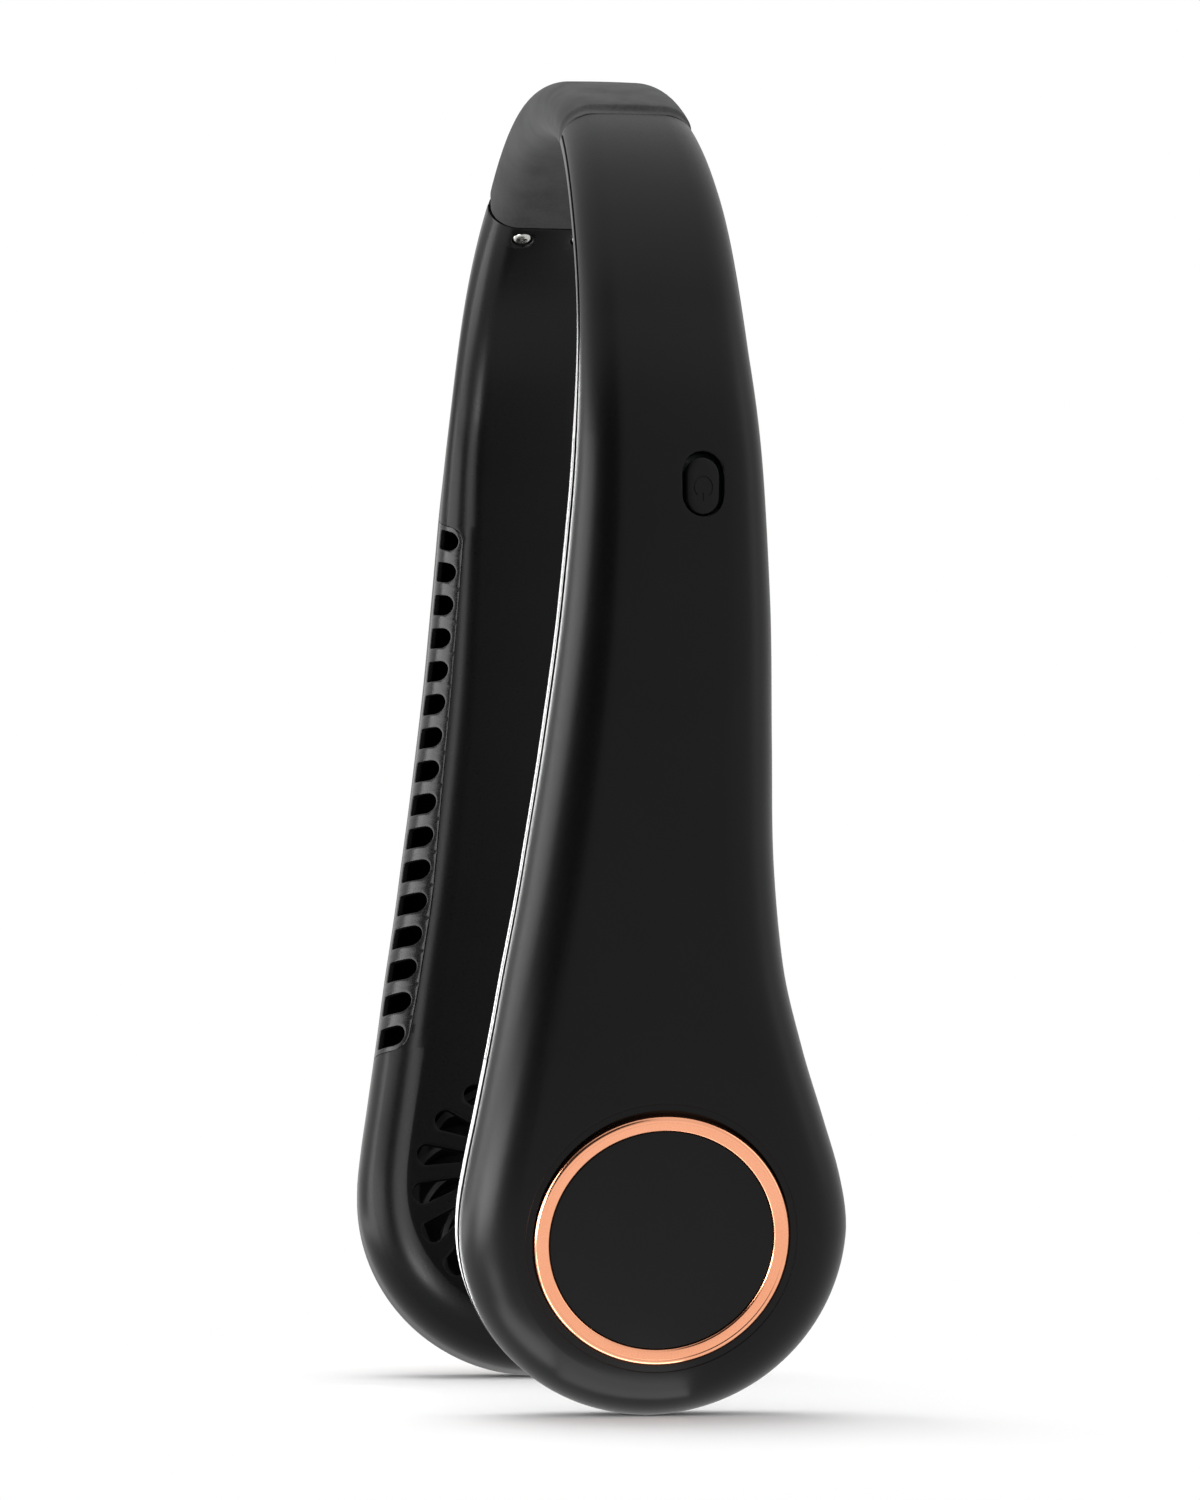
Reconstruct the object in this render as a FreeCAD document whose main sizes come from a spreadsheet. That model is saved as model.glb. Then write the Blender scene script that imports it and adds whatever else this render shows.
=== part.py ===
import FreeCAD, Part
import math
import os

import Sketcher
from FreeCAD import Placement, Rotation, Vector

# Electric neck fan: two bent arms on a flexible rubber neck sleeve, each ending in a round
# fan pod. The fan stands on its pods, +Z up. The left arm, with the power button, is on +X,
# and the air slots are on the -Y edge of both arms. Millimetres and degrees.

doc = FreeCAD.newDocument("NeckFan")

# Driving dimensions: name, value, meaning
SIZES = [
    ("pod_reach", 61.0, "pod centre from the middle plane"),
    ("pod_diameter", 58.0, "round fan pod across"),
    ("pod_thickness", 19.0, "round fan pod through its axis"),
    ("pod_edge_round", 8.0, "rounding of the pod's rim"),
    ("pod_tilt", 15.1, "lean of the pod's axis, outer face down"),
    ("arm_bow", 14.1, "how far the arm stands out past its pod"),
    ("corner_bend", 65.0, "bend of the arm's upper corner"),
    ("crown_turn", 22.3, "half turn of the flatter crown of the sleeve"),
    ("join_turn", 26.6, "turn at which arm and sleeve meet"),
    ("strap_width", 20.5, "width of the sleeve and of the arm's upper end"),
    ("strap_thickness", 8.2, "thickness of the sleeve and of the arm's upper end"),
    ("strap_edge_round", 3.7, "rounding of the strap's edges"),
    ("waist_shift", 2.65, "how far the arm's waist leans to the slotted edge"),
    ("wall", 1.6, "moulded wall of the shells"),
    ("parting_out", 2.0, "shell parting line, outwards from the arm's centre line"),
    ("seam_width", 0.35, "shadow groove along the parting line"),
    ("seam_depth", 0.35, "depth of that groove"),
    ("fit_gap", 0.15, "clearance between fitted still pieces"),
    ("run_gap", 0.04, "running clearance of the shaft in its bearing"),
    ("overrun", 3.0, "how far cutting shapes pass their work"),
    ("sleeve_rise", 0.8, "how far the sleeve stands out past the arms' outer faces"),
    ("collar_length", 1.7, "necked collar at each end of the sleeve"),
    ("collar_depth", 0.35, "depth of that collar"),
    ("channel_width", 14.0, "channel through the sleeve"),
    ("channel_height", 4.6, "height of that channel"),
    ("spring_width", 6.4, "flat spring in the sleeve"),
    ("spring_thickness", 0.6, "thickness of the flat spring"),
    ("spring_out", 0.95, "flat spring, outwards from the centre line"),
    ("cable_diameter", 1.4, "link cable between the arms"),
    ("cable_in", 0.6, "link cable, inwards from the centre line"),
    ("cable_run", 18.0, "how far the link cable reaches into each arm"),
    ("anchor_length", 15.0, "anchor block inside the arm"),
    ("tongue_length", 8.0, "anchor tongue inside the sleeve"),
    ("tongue_slack", 0.4, "clearance of the tongue in the channel"),
    ("screw_along", 3.6, "shell screws, from the sleeve joint"),
    ("screw_spread", 9.8, "distance between the two shell screws"),
    ("screw_head_diameter", 3.2, "pan head across"),
    ("screw_head_height", 0.9, "pan head height"),
    ("screw_diameter", 1.9, "screw shank"),
    ("screw_length", 5.0, "screw shank length under the head"),
    ("screw_sink", 1.0, "depth of the screw well"),
    ("ring_diameter", 38.0, "polished ring on the pod, outside"),
    ("ring_band", 2.4, "width of the ring's band"),
    ("ring_proud", 0.45, "how far the ring stands out of the shell"),
    ("ring_bevel", 0.5, "bevel of the ring's edges"),
    ("ring_groove", 0.6, "open groove round the ring"),
    ("cap_recess", 1.0, "depth of the recess for ring and cap"),
    ("cap_gap", 0.15, "shadow gap between ring and cap"),
    ("cap_sunk", 0.1, "how far the cap lies under the shell face"),
    ("cap_edge", 0.3, "bevel of the cap's edge"),
    ("seat_thickness", 0.9, "stiffening disc behind the recess"),
    ("button_length", 8.2, "power button along the arm"),
    ("button_width", 5.1, "power button across the arm"),
    ("button_along", 70.8, "power button, from the sleeve joint"),
    ("button_side", 3.9, "power button, off the arm's middle"),
    ("button_sunk", 0.3, "power button below the shell"),
    ("button_flange", 0.8, "retaining flange of the button"),
    ("button_slack", 0.7, "flange of the button below the curved shell"),
    ("button_travel", 0.6, "press of the power button"),
    ("button_edge", 0.35, "rounding of the button's face"),
    ("button_gap", 1.1, "clearance round the button"),
    ("plunger_diameter", 2.4, "plunger of the switch"),
    ("plunger_height", 1.7, "plunger of the switch, length"),
    ("switch_side", 5.2, "switch case across"),
    ("switch_height", 1.6, "switch case height"),
    ("board_length", 24.0, "control board along the arm"),
    ("board_width", 11.8, "control board across"),
    ("board_thickness", 1.0, "control board"),
    ("board_edge", 1.0, "control board, past the arm's middle on the slotted side"),
    ("post_diameter", 2.6, "posts that hold the board"),
    ("usb_width", 8.9, "charging socket along the arm"),
    ("usb_height", 3.2, "charging socket height"),
    ("usb_depth", 9.2, "charging socket depth"),
    ("usb_wall", 0.3, "sheet of the charging socket"),
    ("usb_drop", 6.5, "charging socket, below the button"),
    ("usb_sunk", 0.3, "mouth of the socket under the shell"),
    ("battery_diameter", 14.0, "cell in each arm"),
    ("battery_length", 50.0, "cell length"),
    ("battery_along", 118.0, "middle of the cell, from the sleeve joint"),
    ("battery_side", 6.2, "cell off the arm's middle, away from the slots"),
    ("battery_edge", 1.0, "rounding of the cell's ends"),
    ("terminal_diameter", 5.0, "raised terminal of the cell"),
    ("terminal_height", 1.0, "height of that terminal"),
    ("duct_wall", 1.2, "wall between air duct and cell"),
    ("duct_side", 2.5, "that wall, off the middle on the slotted side"),
    ("duct_top", 117.0, "top of the duct above the pod's centre"),
    ("duct_turn", 10.0, "bend that closes the duct at its top"),
    ("tongue_clear", 1.8, "cut-off edge of the duct wall from the impeller"),
    ("tongue_turn", 12.0, "cut-off edge, turned from the top of the pod"),
    ("slot_count", 16, "air slots along the arm"),
    ("slot_first", 66.0, "first air slot, from the sleeve joint"),
    ("slot_pitch", 5.75, "spacing of the air slots"),
    ("slot_height", 3.5, "air slot along the arm"),
    ("slot_short", 5.35, "length of the uppermost slot"),
    ("slot_long", 7.6, "length of the lowest slot"),
    ("slot_lean", 30.0, "lean of the slots from the side towards the inner face"),
    ("slot_out", -0.1, "air slot, off the middle of the rounded edge"),
    ("strip_margin", 0.9, "slotted strip past its end slots"),
    ("strip_top_width", 3.4, "slotted strip on the inner face, upper end"),
    ("strip_width", 4.9, "slotted strip on the inner face, lower end"),
    ("strip_corner", 2.6, "rounded corners of the strip on the inner face"),
    ("strip_shy", 0.9, "slotted strip short of the parting line"),
    ("petal_count", 18, "inlet openings on the pod's inner face"),
    ("petal_outer", 21.2, "outer end of the inlet openings"),
    ("petal_inner", 12.9, "inner end of the inlet openings"),
    ("petal_wide", 3.6, "inlet opening, outer width"),
    ("petal_narrow", 2.1, "inlet opening, inner width"),
    ("petal_swirl", -5.8, "lean of the inlet openings"),
    ("petal_turn", -7.0, "turn of the first inlet opening from the foot of the pod"),
    ("mount_diameter", 24.0, "motor plate"),
    ("mount_thickness", 1.2, "motor plate"),
    ("tube_diameter", 6.4, "bearing tube of the motor plate"),
    ("tube_length", 6.6, "bearing tube length"),
    ("collar_diameter", 8.8, "seat of the stator on the bearing tube"),
    ("collar_height", 0.6, "height of that seat"),
    ("bearing_diameter", 4.3, "sleeve bearing outside"),
    ("shaft_diameter", 2.0, "motor shaft"),
    ("shaft_short", 0.4, "shaft short of the bearing's closed end"),
    ("stator_diameter", 16.0, "stator across"),
    ("stator_height", 4.4, "stator stack"),
    ("stator_slots", 9, "winding slots of the stator"),
    ("stator_slot_width", 1.5, "winding slot"),
    ("stator_slot_depth", 3.2, "winding slot depth"),
    ("cup_diameter", 19.2, "rotor cup outside"),
    ("cup_wall", 0.9, "rotor cup wall"),
    ("cup_floor", 0.8, "rotor cup floor"),
    ("cup_clear", 0.8, "rotor cup to motor plate and bearing tube"),
    ("hub_wall", 1.05, "impeller hub wall"),
    ("hub_floor", 1.0, "impeller hub floor"),
    ("impeller_diameter", 41.0, "impeller across"),
    ("plate_thickness", 0.9, "impeller back plate"),
    ("plate_clear", 1.6, "impeller back plate to motor plate"),
    ("blade_count", 13, "impeller blades"),
    ("blade_height", 8.5, "impeller blades"),
    ("blade_thickness", 0.8, "impeller blades"),
    ("blade_inner", 12.6, "inner end of the blades"),
    ("blade_bend", 11.0, "radius of the blades' curve"),
    ("blade_sweep", 34.0, "turn from the blade's inner to its outer end"),
    ("shroud_band", 1.1, "stiffening ring on the blades, across"),
    ("shroud_height", 0.9, "stiffening ring on the blades, height"),
]

# Stations down the arm as shares of its length, with what each carries: shares of the way
# from strap to pod in width, thickness and edge rounding, and shares of the waist's shift.
STATION_SHARES = [0.0, 0.12, 0.24, 0.36, 0.48, 0.6, 0.7, 0.78, 0.85, 0.91, 0.955, 0.985, 1.0]
WIDTH_SHARES = [0.0, 0.059, 0.107, 0.184, 0.267, 0.352, 0.44, 0.549, 0.69, 0.835, 0.942, 0.991, 1.0]
THICKNESS_SHARES = [0.0, 0.02, 0.13, 0.66, 0.9, 0.99, 1.0, 1.0, 1.0, 1.0, 1.0, 1.0, 1.0]
ROUND_SHARES = [0.0, 0.03, 0.17, 0.48, 0.74, 0.91, 1.0, 1.0, 1.0, 1.0, 1.0, 1.0, 1.0]
SHIFT_SHARES = [0.0, 0.0, 0.0, 0.0, 0.13, 0.53, 0.89, 1.0, 0.74, 0.38, 0.13, 0.03, 0.0]

ACROSS = Vector(0, 1, 0)
MIDDLE = Vector(0, 0, 0)
SIDEWAYS = Vector(1, 0, 0)

sheet = doc.addObject("Spreadsheet::Sheet", "Sizes")
for row, (alias, value, meaning) in enumerate(SIZES, start=1):
    sheet.set(f"A{row}", alias)
    sheet.set(f"B{row}", str(value))
    sheet.setAlias(f"B{row}", alias)
    sheet.set(f"C{row}", meaning)
doc.recompute()


def size(alias):
    """Give a driving dimension from the sheet."""
    return float(sheet.get(alias))


def count(alias):
    """Give a whole number from the sheet."""
    return int(sheet.get(alias))


# Centre line of the arm


class Spine:
    """Centre line of the left arm in the XZ plane, as tangent arcs from crown to pod.

    A place on it is its distance down the arm from the sleeve joint, so the sleeve's half
    of the line has negative places.
    """

    def __init__(self):
        self.tilt = math.radians(size("pod_tilt"))
        edge = size("pod_edge_round")
        flat = size("pod_diameter") / 2 - edge
        side = size("pod_thickness") / 2 - edge
        self.pod_height = flat * math.cos(self.tilt) + side * math.sin(self.tilt) + edge
        self.lower_bend = size("arm_bow") / (1 - math.cos(self.tilt))
        self.corner_bend = size("corner_bend")
        self.crown_turn = math.radians(size("crown_turn"))
        self.join_turn = math.radians(size("join_turn"))
        reach = size("pod_reach") + size("arm_bow")
        height = self.pod_height + self.lower_bend * math.sin(self.tilt)
        spread = (reach - self.corner_bend) / math.sin(self.crown_turn)
        self.crown_bend = self.corner_bend + spread
        self.lower_centre = Vector(reach - self.lower_bend, 0, height)
        self.corner_centre = Vector(reach - self.corner_bend, 0, height)
        self.crown_centre = Vector(0, 0, height - spread * math.cos(self.crown_turn))
        self.corner_end = self.corner_bend * (math.pi / 2 - self.join_turn)
        self.crown_end = self.corner_bend * (self.crown_turn - self.join_turn)
        self.top = self.crown_end - self.crown_bend * self.crown_turn
        self.length = self.corner_end + self.lower_bend * self.tilt

    def arc(self, along):
        """Give the centre, bend and turn of the arc at a place."""
        if along < self.crown_end:
            turn = self.crown_turn + (along - self.crown_end) / self.crown_bend
            return self.crown_centre, self.crown_bend, turn
        if along <= self.corner_end:
            return self.corner_centre, self.corner_bend, self.join_turn + along / self.corner_bend
        turn = math.pi / 2 + (along - self.corner_end) / self.lower_bend
        return self.lower_centre, self.lower_bend, turn

    def normal(self, along):
        """Give the outward direction at a place."""
        turn = self.arc(along)[2]
        return Vector(math.sin(turn), 0, math.cos(turn))

    def tangent(self, along):
        """Give the downward direction at a place."""
        turn = self.arc(along)[2]
        return Vector(math.cos(turn), 0, -math.sin(turn))

    def at(self, along, out=0):
        """Give the point at a place, moved outwards."""
        centre, bend, _ = self.arc(along)
        return centre + self.normal(along) * (bend + out)

    def edges(self, start, end, out=0):
        """Give the arcs between two places, moved outwards."""
        stops = [start]
        stops += [stop for stop in (self.crown_end, self.corner_end) if start < stop < end]
        stops.append(end)
        arcs = []
        for first, last in zip(stops, stops[1:]):
            middle = self.at((first + last) / 2, out)
            arcs.append(Part.Arc(self.at(first, out), middle, self.at(last, out)).toShape())
        return arcs

    def frame(self, along, out=0, side=0):
        """Give the placement there: X down the arm, Y across it, Z outwards."""
        turned = Rotation(self.tangent(along), ACROSS, self.normal(along), "ZXY")
        return Placement(self.at(along, out) + ACROSS * side, turned)


spine = Spine()


def mirrored_arcs(arcs):
    """Give the same arcs on the right, in reverse order."""
    return [arc.mirror(MIDDLE, SIDEWAYS) for arc in reversed(arcs)]


def blend_share(shares, along):
    """Give a share at any place by straight steps between the stations."""
    place = along / spine.length
    if place <= STATION_SHARES[0]:
        return shares[0]
    for index in range(1, len(STATION_SHARES)):
        if place <= STATION_SHARES[index]:
            step = STATION_SHARES[index] - STATION_SHARES[index - 1]
            part = (place - STATION_SHARES[index - 1]) / step
            return shares[index - 1] + part * (shares[index] - shares[index - 1])
    return shares[-1]


def between(strap, pod, shares, along):
    """Give a size that runs from its value at the strap to its value at the pod."""
    return size(strap) + (size(pod) - size(strap)) * blend_share(shares, along)


def half_width(along):
    """Give half the arm's width at a place."""
    return between("strap_width", "pod_diameter", WIDTH_SHARES, along) / 2


def half_thickness(along):
    """Give half the arm's thickness at a place."""
    return between("strap_thickness", "pod_thickness", THICKNESS_SHARES, along) / 2


def edge_round(along):
    """Give the rounding of the arm's edges at a place."""
    return between("strap_edge_round", "pod_edge_round", ROUND_SHARES, along)


def shift(along):
    """Give how far the section leans across, towards the slotted edge."""
    return -size("waist_shift") * blend_share(SHIFT_SHARES, along)


# Shapes along the arm


def rounded_wire(point, across, out, wide, thick, edge):
    """Draw a rounded rectangle by its half sizes about a point."""
    def place(y, z):
        return point + across * y + out * z

    slack = edge * (1 - math.sqrt(1 / 2))
    flat_y = wide - edge
    flat_z = thick - edge
    lines = []
    for sign_y, sign_z in ((1, 1), (-1, 1), (-1, -1), (1, -1)):
        level = place(sign_y * flat_y, sign_z * thick)
        upright = place(sign_y * wide, sign_z * flat_z)
        knee = place(sign_y * (wide - slack), sign_z * (thick - slack))
        ends = (upright, level) if sign_y * sign_z > 0 else (level, upright)
        lines.append((ends[0], knee, ends[1]))
    edges = []
    for corner, following in zip(lines, lines[1:] + lines[:1]):
        edges.append(Part.Arc(*corner).toShape())
        edges.append(Part.LineSegment(corner[2], following[0]).toShape())
    return Part.Wire(edges)


def arm_section(along, inset):
    """Draw the arm's outline at a place, drawn in by an inset."""
    centre = spine.at(along) + ACROSS * shift(along)
    return rounded_wire(
        centre,
        ACROSS,
        spine.normal(along),
        half_width(along) - inset,
        half_thickness(along) - inset,
        edge_round(along) - inset,
    )


def pod_half(inset):
    """Turn the lower half of the round pod, drawn in by an inset."""
    out = spine.normal(spine.length)
    centre = spine.at(spine.length)
    wide = size("pod_diameter") / 2 - inset
    thick = size("pod_thickness") / 2 - inset
    edge = size("pod_edge_round") - inset
    slack = edge * (1 - math.sqrt(1 / 2))

    def place(radius, rise):
        return centre + ACROSS * radius + out * rise

    outline = [
        Part.LineSegment(place(0, thick), place(0, -thick)),
        Part.LineSegment(place(0, -thick), place(wide - edge, -thick)),
        Part.Arc(
            place(wide - edge, -thick),
            place(wide - slack, slack - thick),
            place(wide, edge - thick),
        ),
        Part.LineSegment(place(wide, edge - thick), place(wide, thick - edge)),
        Part.Arc(
            place(wide, thick - edge),
            place(wide - slack, thick - slack),
            place(wide - edge, thick),
        ),
        Part.LineSegment(place(wide - edge, thick), place(0, thick)),
    ]
    face = Part.Face(Part.Wire([line.toShape() for line in outline]))
    return face.revolve(centre, -out, 180)


def arm_form(inset, lead=0):
    """Loft the arm from strap to pod and close it with the pod's lower half."""
    places = [share * spine.length for share in STATION_SHARES]
    if lead:
        places[0] = -lead
    loft = Part.makeLoft([arm_section(place, inset) for place in places], True, False)
    return loft.fuse(pod_half(inset)).removeSplitter()


def outer_side(out):
    """Give all the space on the outer side of a line that follows the arm."""
    far = size("pod_diameter") * 2
    lead = -size("overrun")
    edges = spine.edges(lead, spine.length, out)
    start = spine.at(lead, out)
    pod = spine.at(spine.length, out)
    foot = pod + spine.tangent(spine.length) * size("pod_diameter")
    head = start + spine.normal(lead) * far
    corners = [pod, foot, Vector(far + foot.x, 0, foot.z), Vector(far + foot.x, 0, head.z), head, start]
    edges += [Part.makeLine(first, last) for first, last in zip(corners, corners[1:])]
    face = Part.Face(Part.Wire(Part.__sortEdges__(edges)))
    wide = size("pod_diameter")
    face.translate(ACROSS * -wide)
    return face.extrude(ACROSS * (wide + wide))


def sweep(section, edges):
    """Carry a closed section along tangent arcs."""
    return Part.Wire(edges).makePipeShell([section], True, False)


def strap_sweep(start, end, wide, thick, edge, out=0):
    """Carry a rounded rectangle along part of the centre line, by its half sizes."""
    section = rounded_wire(spine.at(start, out), ACROSS, spine.normal(start), wide, thick, edge)
    return sweep(section, spine.edges(start, end, out))


def stadium(frame, length, width, depth):
    """Extrude a round-ended slot, long across the frame's X, up its Z."""
    reach = (length - width) / 2
    radius = width / 2
    outline = [
        Part.LineSegment(Vector(-reach, -radius, 0), Vector(reach, -radius, 0)),
        Part.Arc(Vector(reach, -radius, 0), Vector(reach + radius, 0, 0), Vector(reach, radius, 0)),
        Part.LineSegment(Vector(reach, radius, 0), Vector(-reach, radius, 0)),
        Part.Arc(Vector(-reach, radius, 0), Vector(-reach - radius, 0, 0), Vector(-reach, -radius, 0)),
    ]
    solid = Part.Face(Part.Wire([line.toShape() for line in outline])).extrude(Vector(0, 0, depth))
    solid.Placement = frame
    return solid


def cylinder(frame, radius, start, end):
    """Give a round bar along the frame's Z."""
    bar = Part.makeCylinder(radius, end - start, Vector(0, 0, start))
    bar.Placement = frame
    return bar


def lifted(frame, rise):
    """Move a frame along its own Z."""
    return frame.multiply(Placement(Vector(0, 0, rise), Rotation()))


def add_shape(label, shape):
    """Put a finished solid into the document under its own name."""
    feature = doc.addObject("Part::Feature", label)
    feature.Label = label
    feature.Shape = shape
    feature.Placement = Placement()
    return feature


def mirrored(shape):
    """Give the same shape on the right arm."""
    return shape.mirror(MIDDLE, SIDEWAYS)


# Forms that both arms share: the whole arm, its hollow and the bottom of its seam groove

FORM = arm_form(0)
CAVITY = arm_form(size("wall"), size("overrun"))
SKIN = arm_form(size("seam_depth"), size("overrun"))


def face_out(along, side):
    """Give the height of the arm's outer face over the centre line, off the middle by a side."""
    start = spine.at(along) + ACROSS * side
    end = start + spine.normal(along) * size("pod_diameter")
    return FORM.common(Part.makeLine(start, end)).Length


# Places that several pieces share

POD = spine.frame(spine.length)
POD_FACE = size("pod_thickness") / 2
CAVITY_FACE = POD_FACE - size("wall")
SEAT_FACE = CAVITY_FACE - size("seat_thickness")
RECESS_FLOOR = POD_FACE - size("cap_recess")
BUTTON_PLACE = size("button_along")
BUTTON_FACE = face_out(BUTTON_PLACE, size("button_side"))
BUTTON_WALL = BUTTON_FACE - size("wall")
BUTTON_FOOT = BUTTON_WALL - size("button_slack") - size("button_flange")
PLUNGER_FOOT = BUTTON_FOOT - size("plunger_height")
BOARD_FACE = BUTTON_FOOT - size("button_travel") - size("fit_gap") - size("switch_height")
BOARD_BACK = BOARD_FACE - size("board_thickness")
BUTTON = spine.frame(BUTTON_PLACE, 0, size("button_side"))
BOARD = spine.frame(BUTTON_PLACE)


# Shells of the arms


def slot_frame(along):
    """Give the frame of an air slot: X along the slot, Z out through the rounded edge."""
    angle = math.radians(size("slot_lean"))
    inward = spine.normal(along) * -1
    lean = ACROSS * -math.cos(angle) + inward * math.sin(angle)
    length = ACROSS * math.sin(angle) + inward * math.cos(angle)
    edge = edge_round(along)
    corner = spine.at(along, edge - half_thickness(along))
    corner += ACROSS * (shift(along) - half_width(along) + edge)
    turned = Rotation(length, lean.cross(length), lean, "ZXY")
    return Placement(corner - length * size("slot_out"), turned)


def half_round(frame, length, width, depth):
    """Extrude a slot with one round end, at the frame's +X, and one square end, up its Z."""
    radius = width / 2
    knee = length / 2 - radius
    start = Vector(-length / 2, -radius, 0)
    end = Vector(-length / 2, radius, 0)
    outline = [
        Part.LineSegment(start, Vector(knee, -radius, 0)),
        Part.Arc(Vector(knee, -radius, 0), Vector(length / 2, 0, 0), Vector(knee, radius, 0)),
        Part.LineSegment(Vector(knee, radius, 0), end),
        Part.LineSegment(end, start),
    ]
    solid = Part.Face(Part.Wire([line.toShape() for line in outline])).extrude(Vector(0, 0, depth))
    solid.Placement = frame
    return solid


def air_slots():
    """Give the cutting shapes of all the air slots."""
    slots = []
    total = count("slot_count")
    for index in range(total):
        along = size("slot_first") + index * size("slot_pitch")
        share = index / (total - 1)
        length = size("slot_short") + share * (size("slot_long") - size("slot_short"))
        depth = edge_round(along) + size("overrun")
        slots.append(half_round(slot_frame(along), length, size("slot_height"), depth))
    return slots


def strip_space(grow):
    """Give the space along the slotted edge that the strip takes, grown on every side."""
    ends = size("slot_height") / 2 + size("strip_margin") + grow
    first = size("slot_first") - ends
    last = size("slot_first") + (count("slot_count") - 1) * size("slot_pitch") + ends
    corner = size("strip_corner")
    steps = count("slot_count")
    places = [(first + corner + (last - first - corner * 2) * step / steps, 0) for step in range(steps + 1)]
    for turn in (math.pi / 6, math.pi / 3, math.pi / 2):
        drop = corner * (1 - math.cos(turn))
        reach = corner * math.sin(turn)
        places.insert(0, (first + corner - reach, drop))
        places.append((last - corner + reach, drop))
    sections = []
    for along, drop in places:
        share = (along - first) / (last - first)
        width = size("strip_top_width") + share * (size("strip_width") - size("strip_top_width"))
        low_y = shift(along) - half_width(along) - size("overrun")
        high_y = shift(along) - half_width(along) + width - drop + grow
        low_z = -half_thickness(along) - size("overrun")
        high_z = size("parting_out") - size("strip_shy") + grow
        corners = [(low_y, low_z), (high_y, low_z), (high_y, high_z), (low_y, high_z)]
        points = [spine.at(along, rise) + ACROSS * side for side, rise in corners]
        sections.append(Part.makePolygon(points + points[:1]))
    return Part.makeLoft(sections, True, True)


def petals():
    """Give the cutting shapes of the tapered inlet openings on the pod's inner face."""
    wide = size("petal_wide") / 2
    narrow = size("petal_narrow") / 2
    far = size("petal_outer") - wide
    near = size("petal_inner") + narrow
    swirl = math.radians(size("petal_swirl"))
    tip = Vector(far, 0, 0)
    root = Vector(near * math.cos(swirl), near * math.sin(swirl), 0)
    axis = (tip - root).normalize()
    aside = Vector(-axis.y, axis.x, 0)
    lean = math.acos((wide - narrow) / (tip - root).Length)
    left = axis * math.cos(lean) + aside * math.sin(lean)
    right = axis * math.cos(lean) - aside * math.sin(lean)
    outline = [
        Part.LineSegment(root + right * narrow, tip + right * wide),
        Part.Arc(tip + right * wide, tip + axis * wide, tip + left * wide),
        Part.LineSegment(tip + left * wide, root + left * narrow),
        Part.Arc(root + left * narrow, root - axis * narrow, root + right * narrow),
    ]
    face = Part.Face(Part.Wire([line.toShape() for line in outline]))
    face.translate(Vector(0, 0, -POD_FACE - size("overrun")))
    petal = face.extrude(Vector(0, 0, size("wall") + size("overrun") * 2))
    total = count("petal_count")
    cuts = []
    for index in range(total):
        turned = Rotation(Vector(0, 0, 1), size("petal_turn") + 360 * index / total)
        copy = petal.copy()
        copy.Placement = POD.multiply(Placement(MIDDLE, turned))
        cuts.append(copy)
    return cuts


def screw_frames():
    """Give a frame at each shell screw, Z pointing out of the inner face."""
    along = size("screw_along")
    frames = []
    for sign in (-1, 1):
        point = spine.at(along, -half_thickness(along)) + ACROSS * (sign * size("screw_spread") / 2)
        inward = spine.normal(along) * -1
        turned = Rotation(spine.tangent(along), inward.cross(spine.tangent(along)), inward, "ZXY")
        frames.append(Placement(point, turned))
    return frames


def button_opening():
    """Give the cutting shape of the power button's opening."""
    grow = size("button_gap")
    length = size("button_length") + grow
    width = size("button_width") + grow
    depth = size("wall") + size("overrun") * 2
    return stadium(lifted(BUTTON, BUTTON_WALL - size("overrun")), length, width, depth)


def board_posts():
    """Give the two posts on the outer shell that the control board hangs on."""
    reach = size("board_length") / 2 - size("post_diameter")
    side = size("board_width") / 2 - size("board_edge")
    posts = []
    for sign in (-1, 1):
        frame = BOARD.multiply(Placement(Vector(sign * reach, side, 0), Rotation()))
        post = cylinder(frame, size("post_diameter") / 2, BOARD_FACE, POD_FACE)
        posts.append(post.common(SKIN))
    return posts


def shells(controls):
    """Make the outer shell, the inner shell and the slotted strip of the left arm."""
    wall = FORM.cut(CAVITY)
    parting = size("parting_out")
    seat = cylinder(POD, size("ring_diameter") / 2 + size("wall"), SEAT_FACE, RECESS_FLOOR)
    groove = outer_side(parting).cut(outer_side(parting + size("seam_width"))).cut(SKIN)
    recess = cylinder(
        POD, size("ring_diameter") / 2 + size("ring_groove"), RECESS_FLOOR, POD_FACE + size("overrun")
    )
    outer = wall.common(outer_side(parting)).fuse(seat).cut([groove, recess])
    inner = wall.cut(outer_side(parting))
    if controls:
        outer = outer.fuse(board_posts()).cut(button_opening())
        inner = inner.cut(usb_opening())
    strip = inner.common(strip_space(0)).cut(air_slots())
    inner = inner.cut(strip_space(size("fit_gap"))).cut(petals())
    wells = []
    for frame in screw_frames():
        head = size("screw_head_diameter") / 2 + size("fit_gap")
        shank = size("screw_diameter") / 2 + size("fit_gap")
        wells.append(cylinder(frame, head, -size("screw_sink"), size("overrun")))
        wells.append(cylinder(frame, shank, -size("wall") - size("overrun"), 0))
    inner = inner.cut(wells)
    return outer.removeSplitter(), inner.removeSplitter(), strip


def usb_frame():
    """Give the frame of the charging socket's back, under the board, Z out of the plain edge."""
    along = BUTTON_PLACE + size("usb_drop")
    back = half_width(along) - size("usb_sunk") - size("usb_depth")
    rise = BOARD_BACK - size("usb_height") / 2 - size("run_gap")
    turned = Rotation(Vector(1, 0, 0), Vector(0, 0, -1), ACROSS, "ZXY")
    return BOARD.multiply(Placement(Vector(size("usb_drop"), back, rise), turned))


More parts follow.
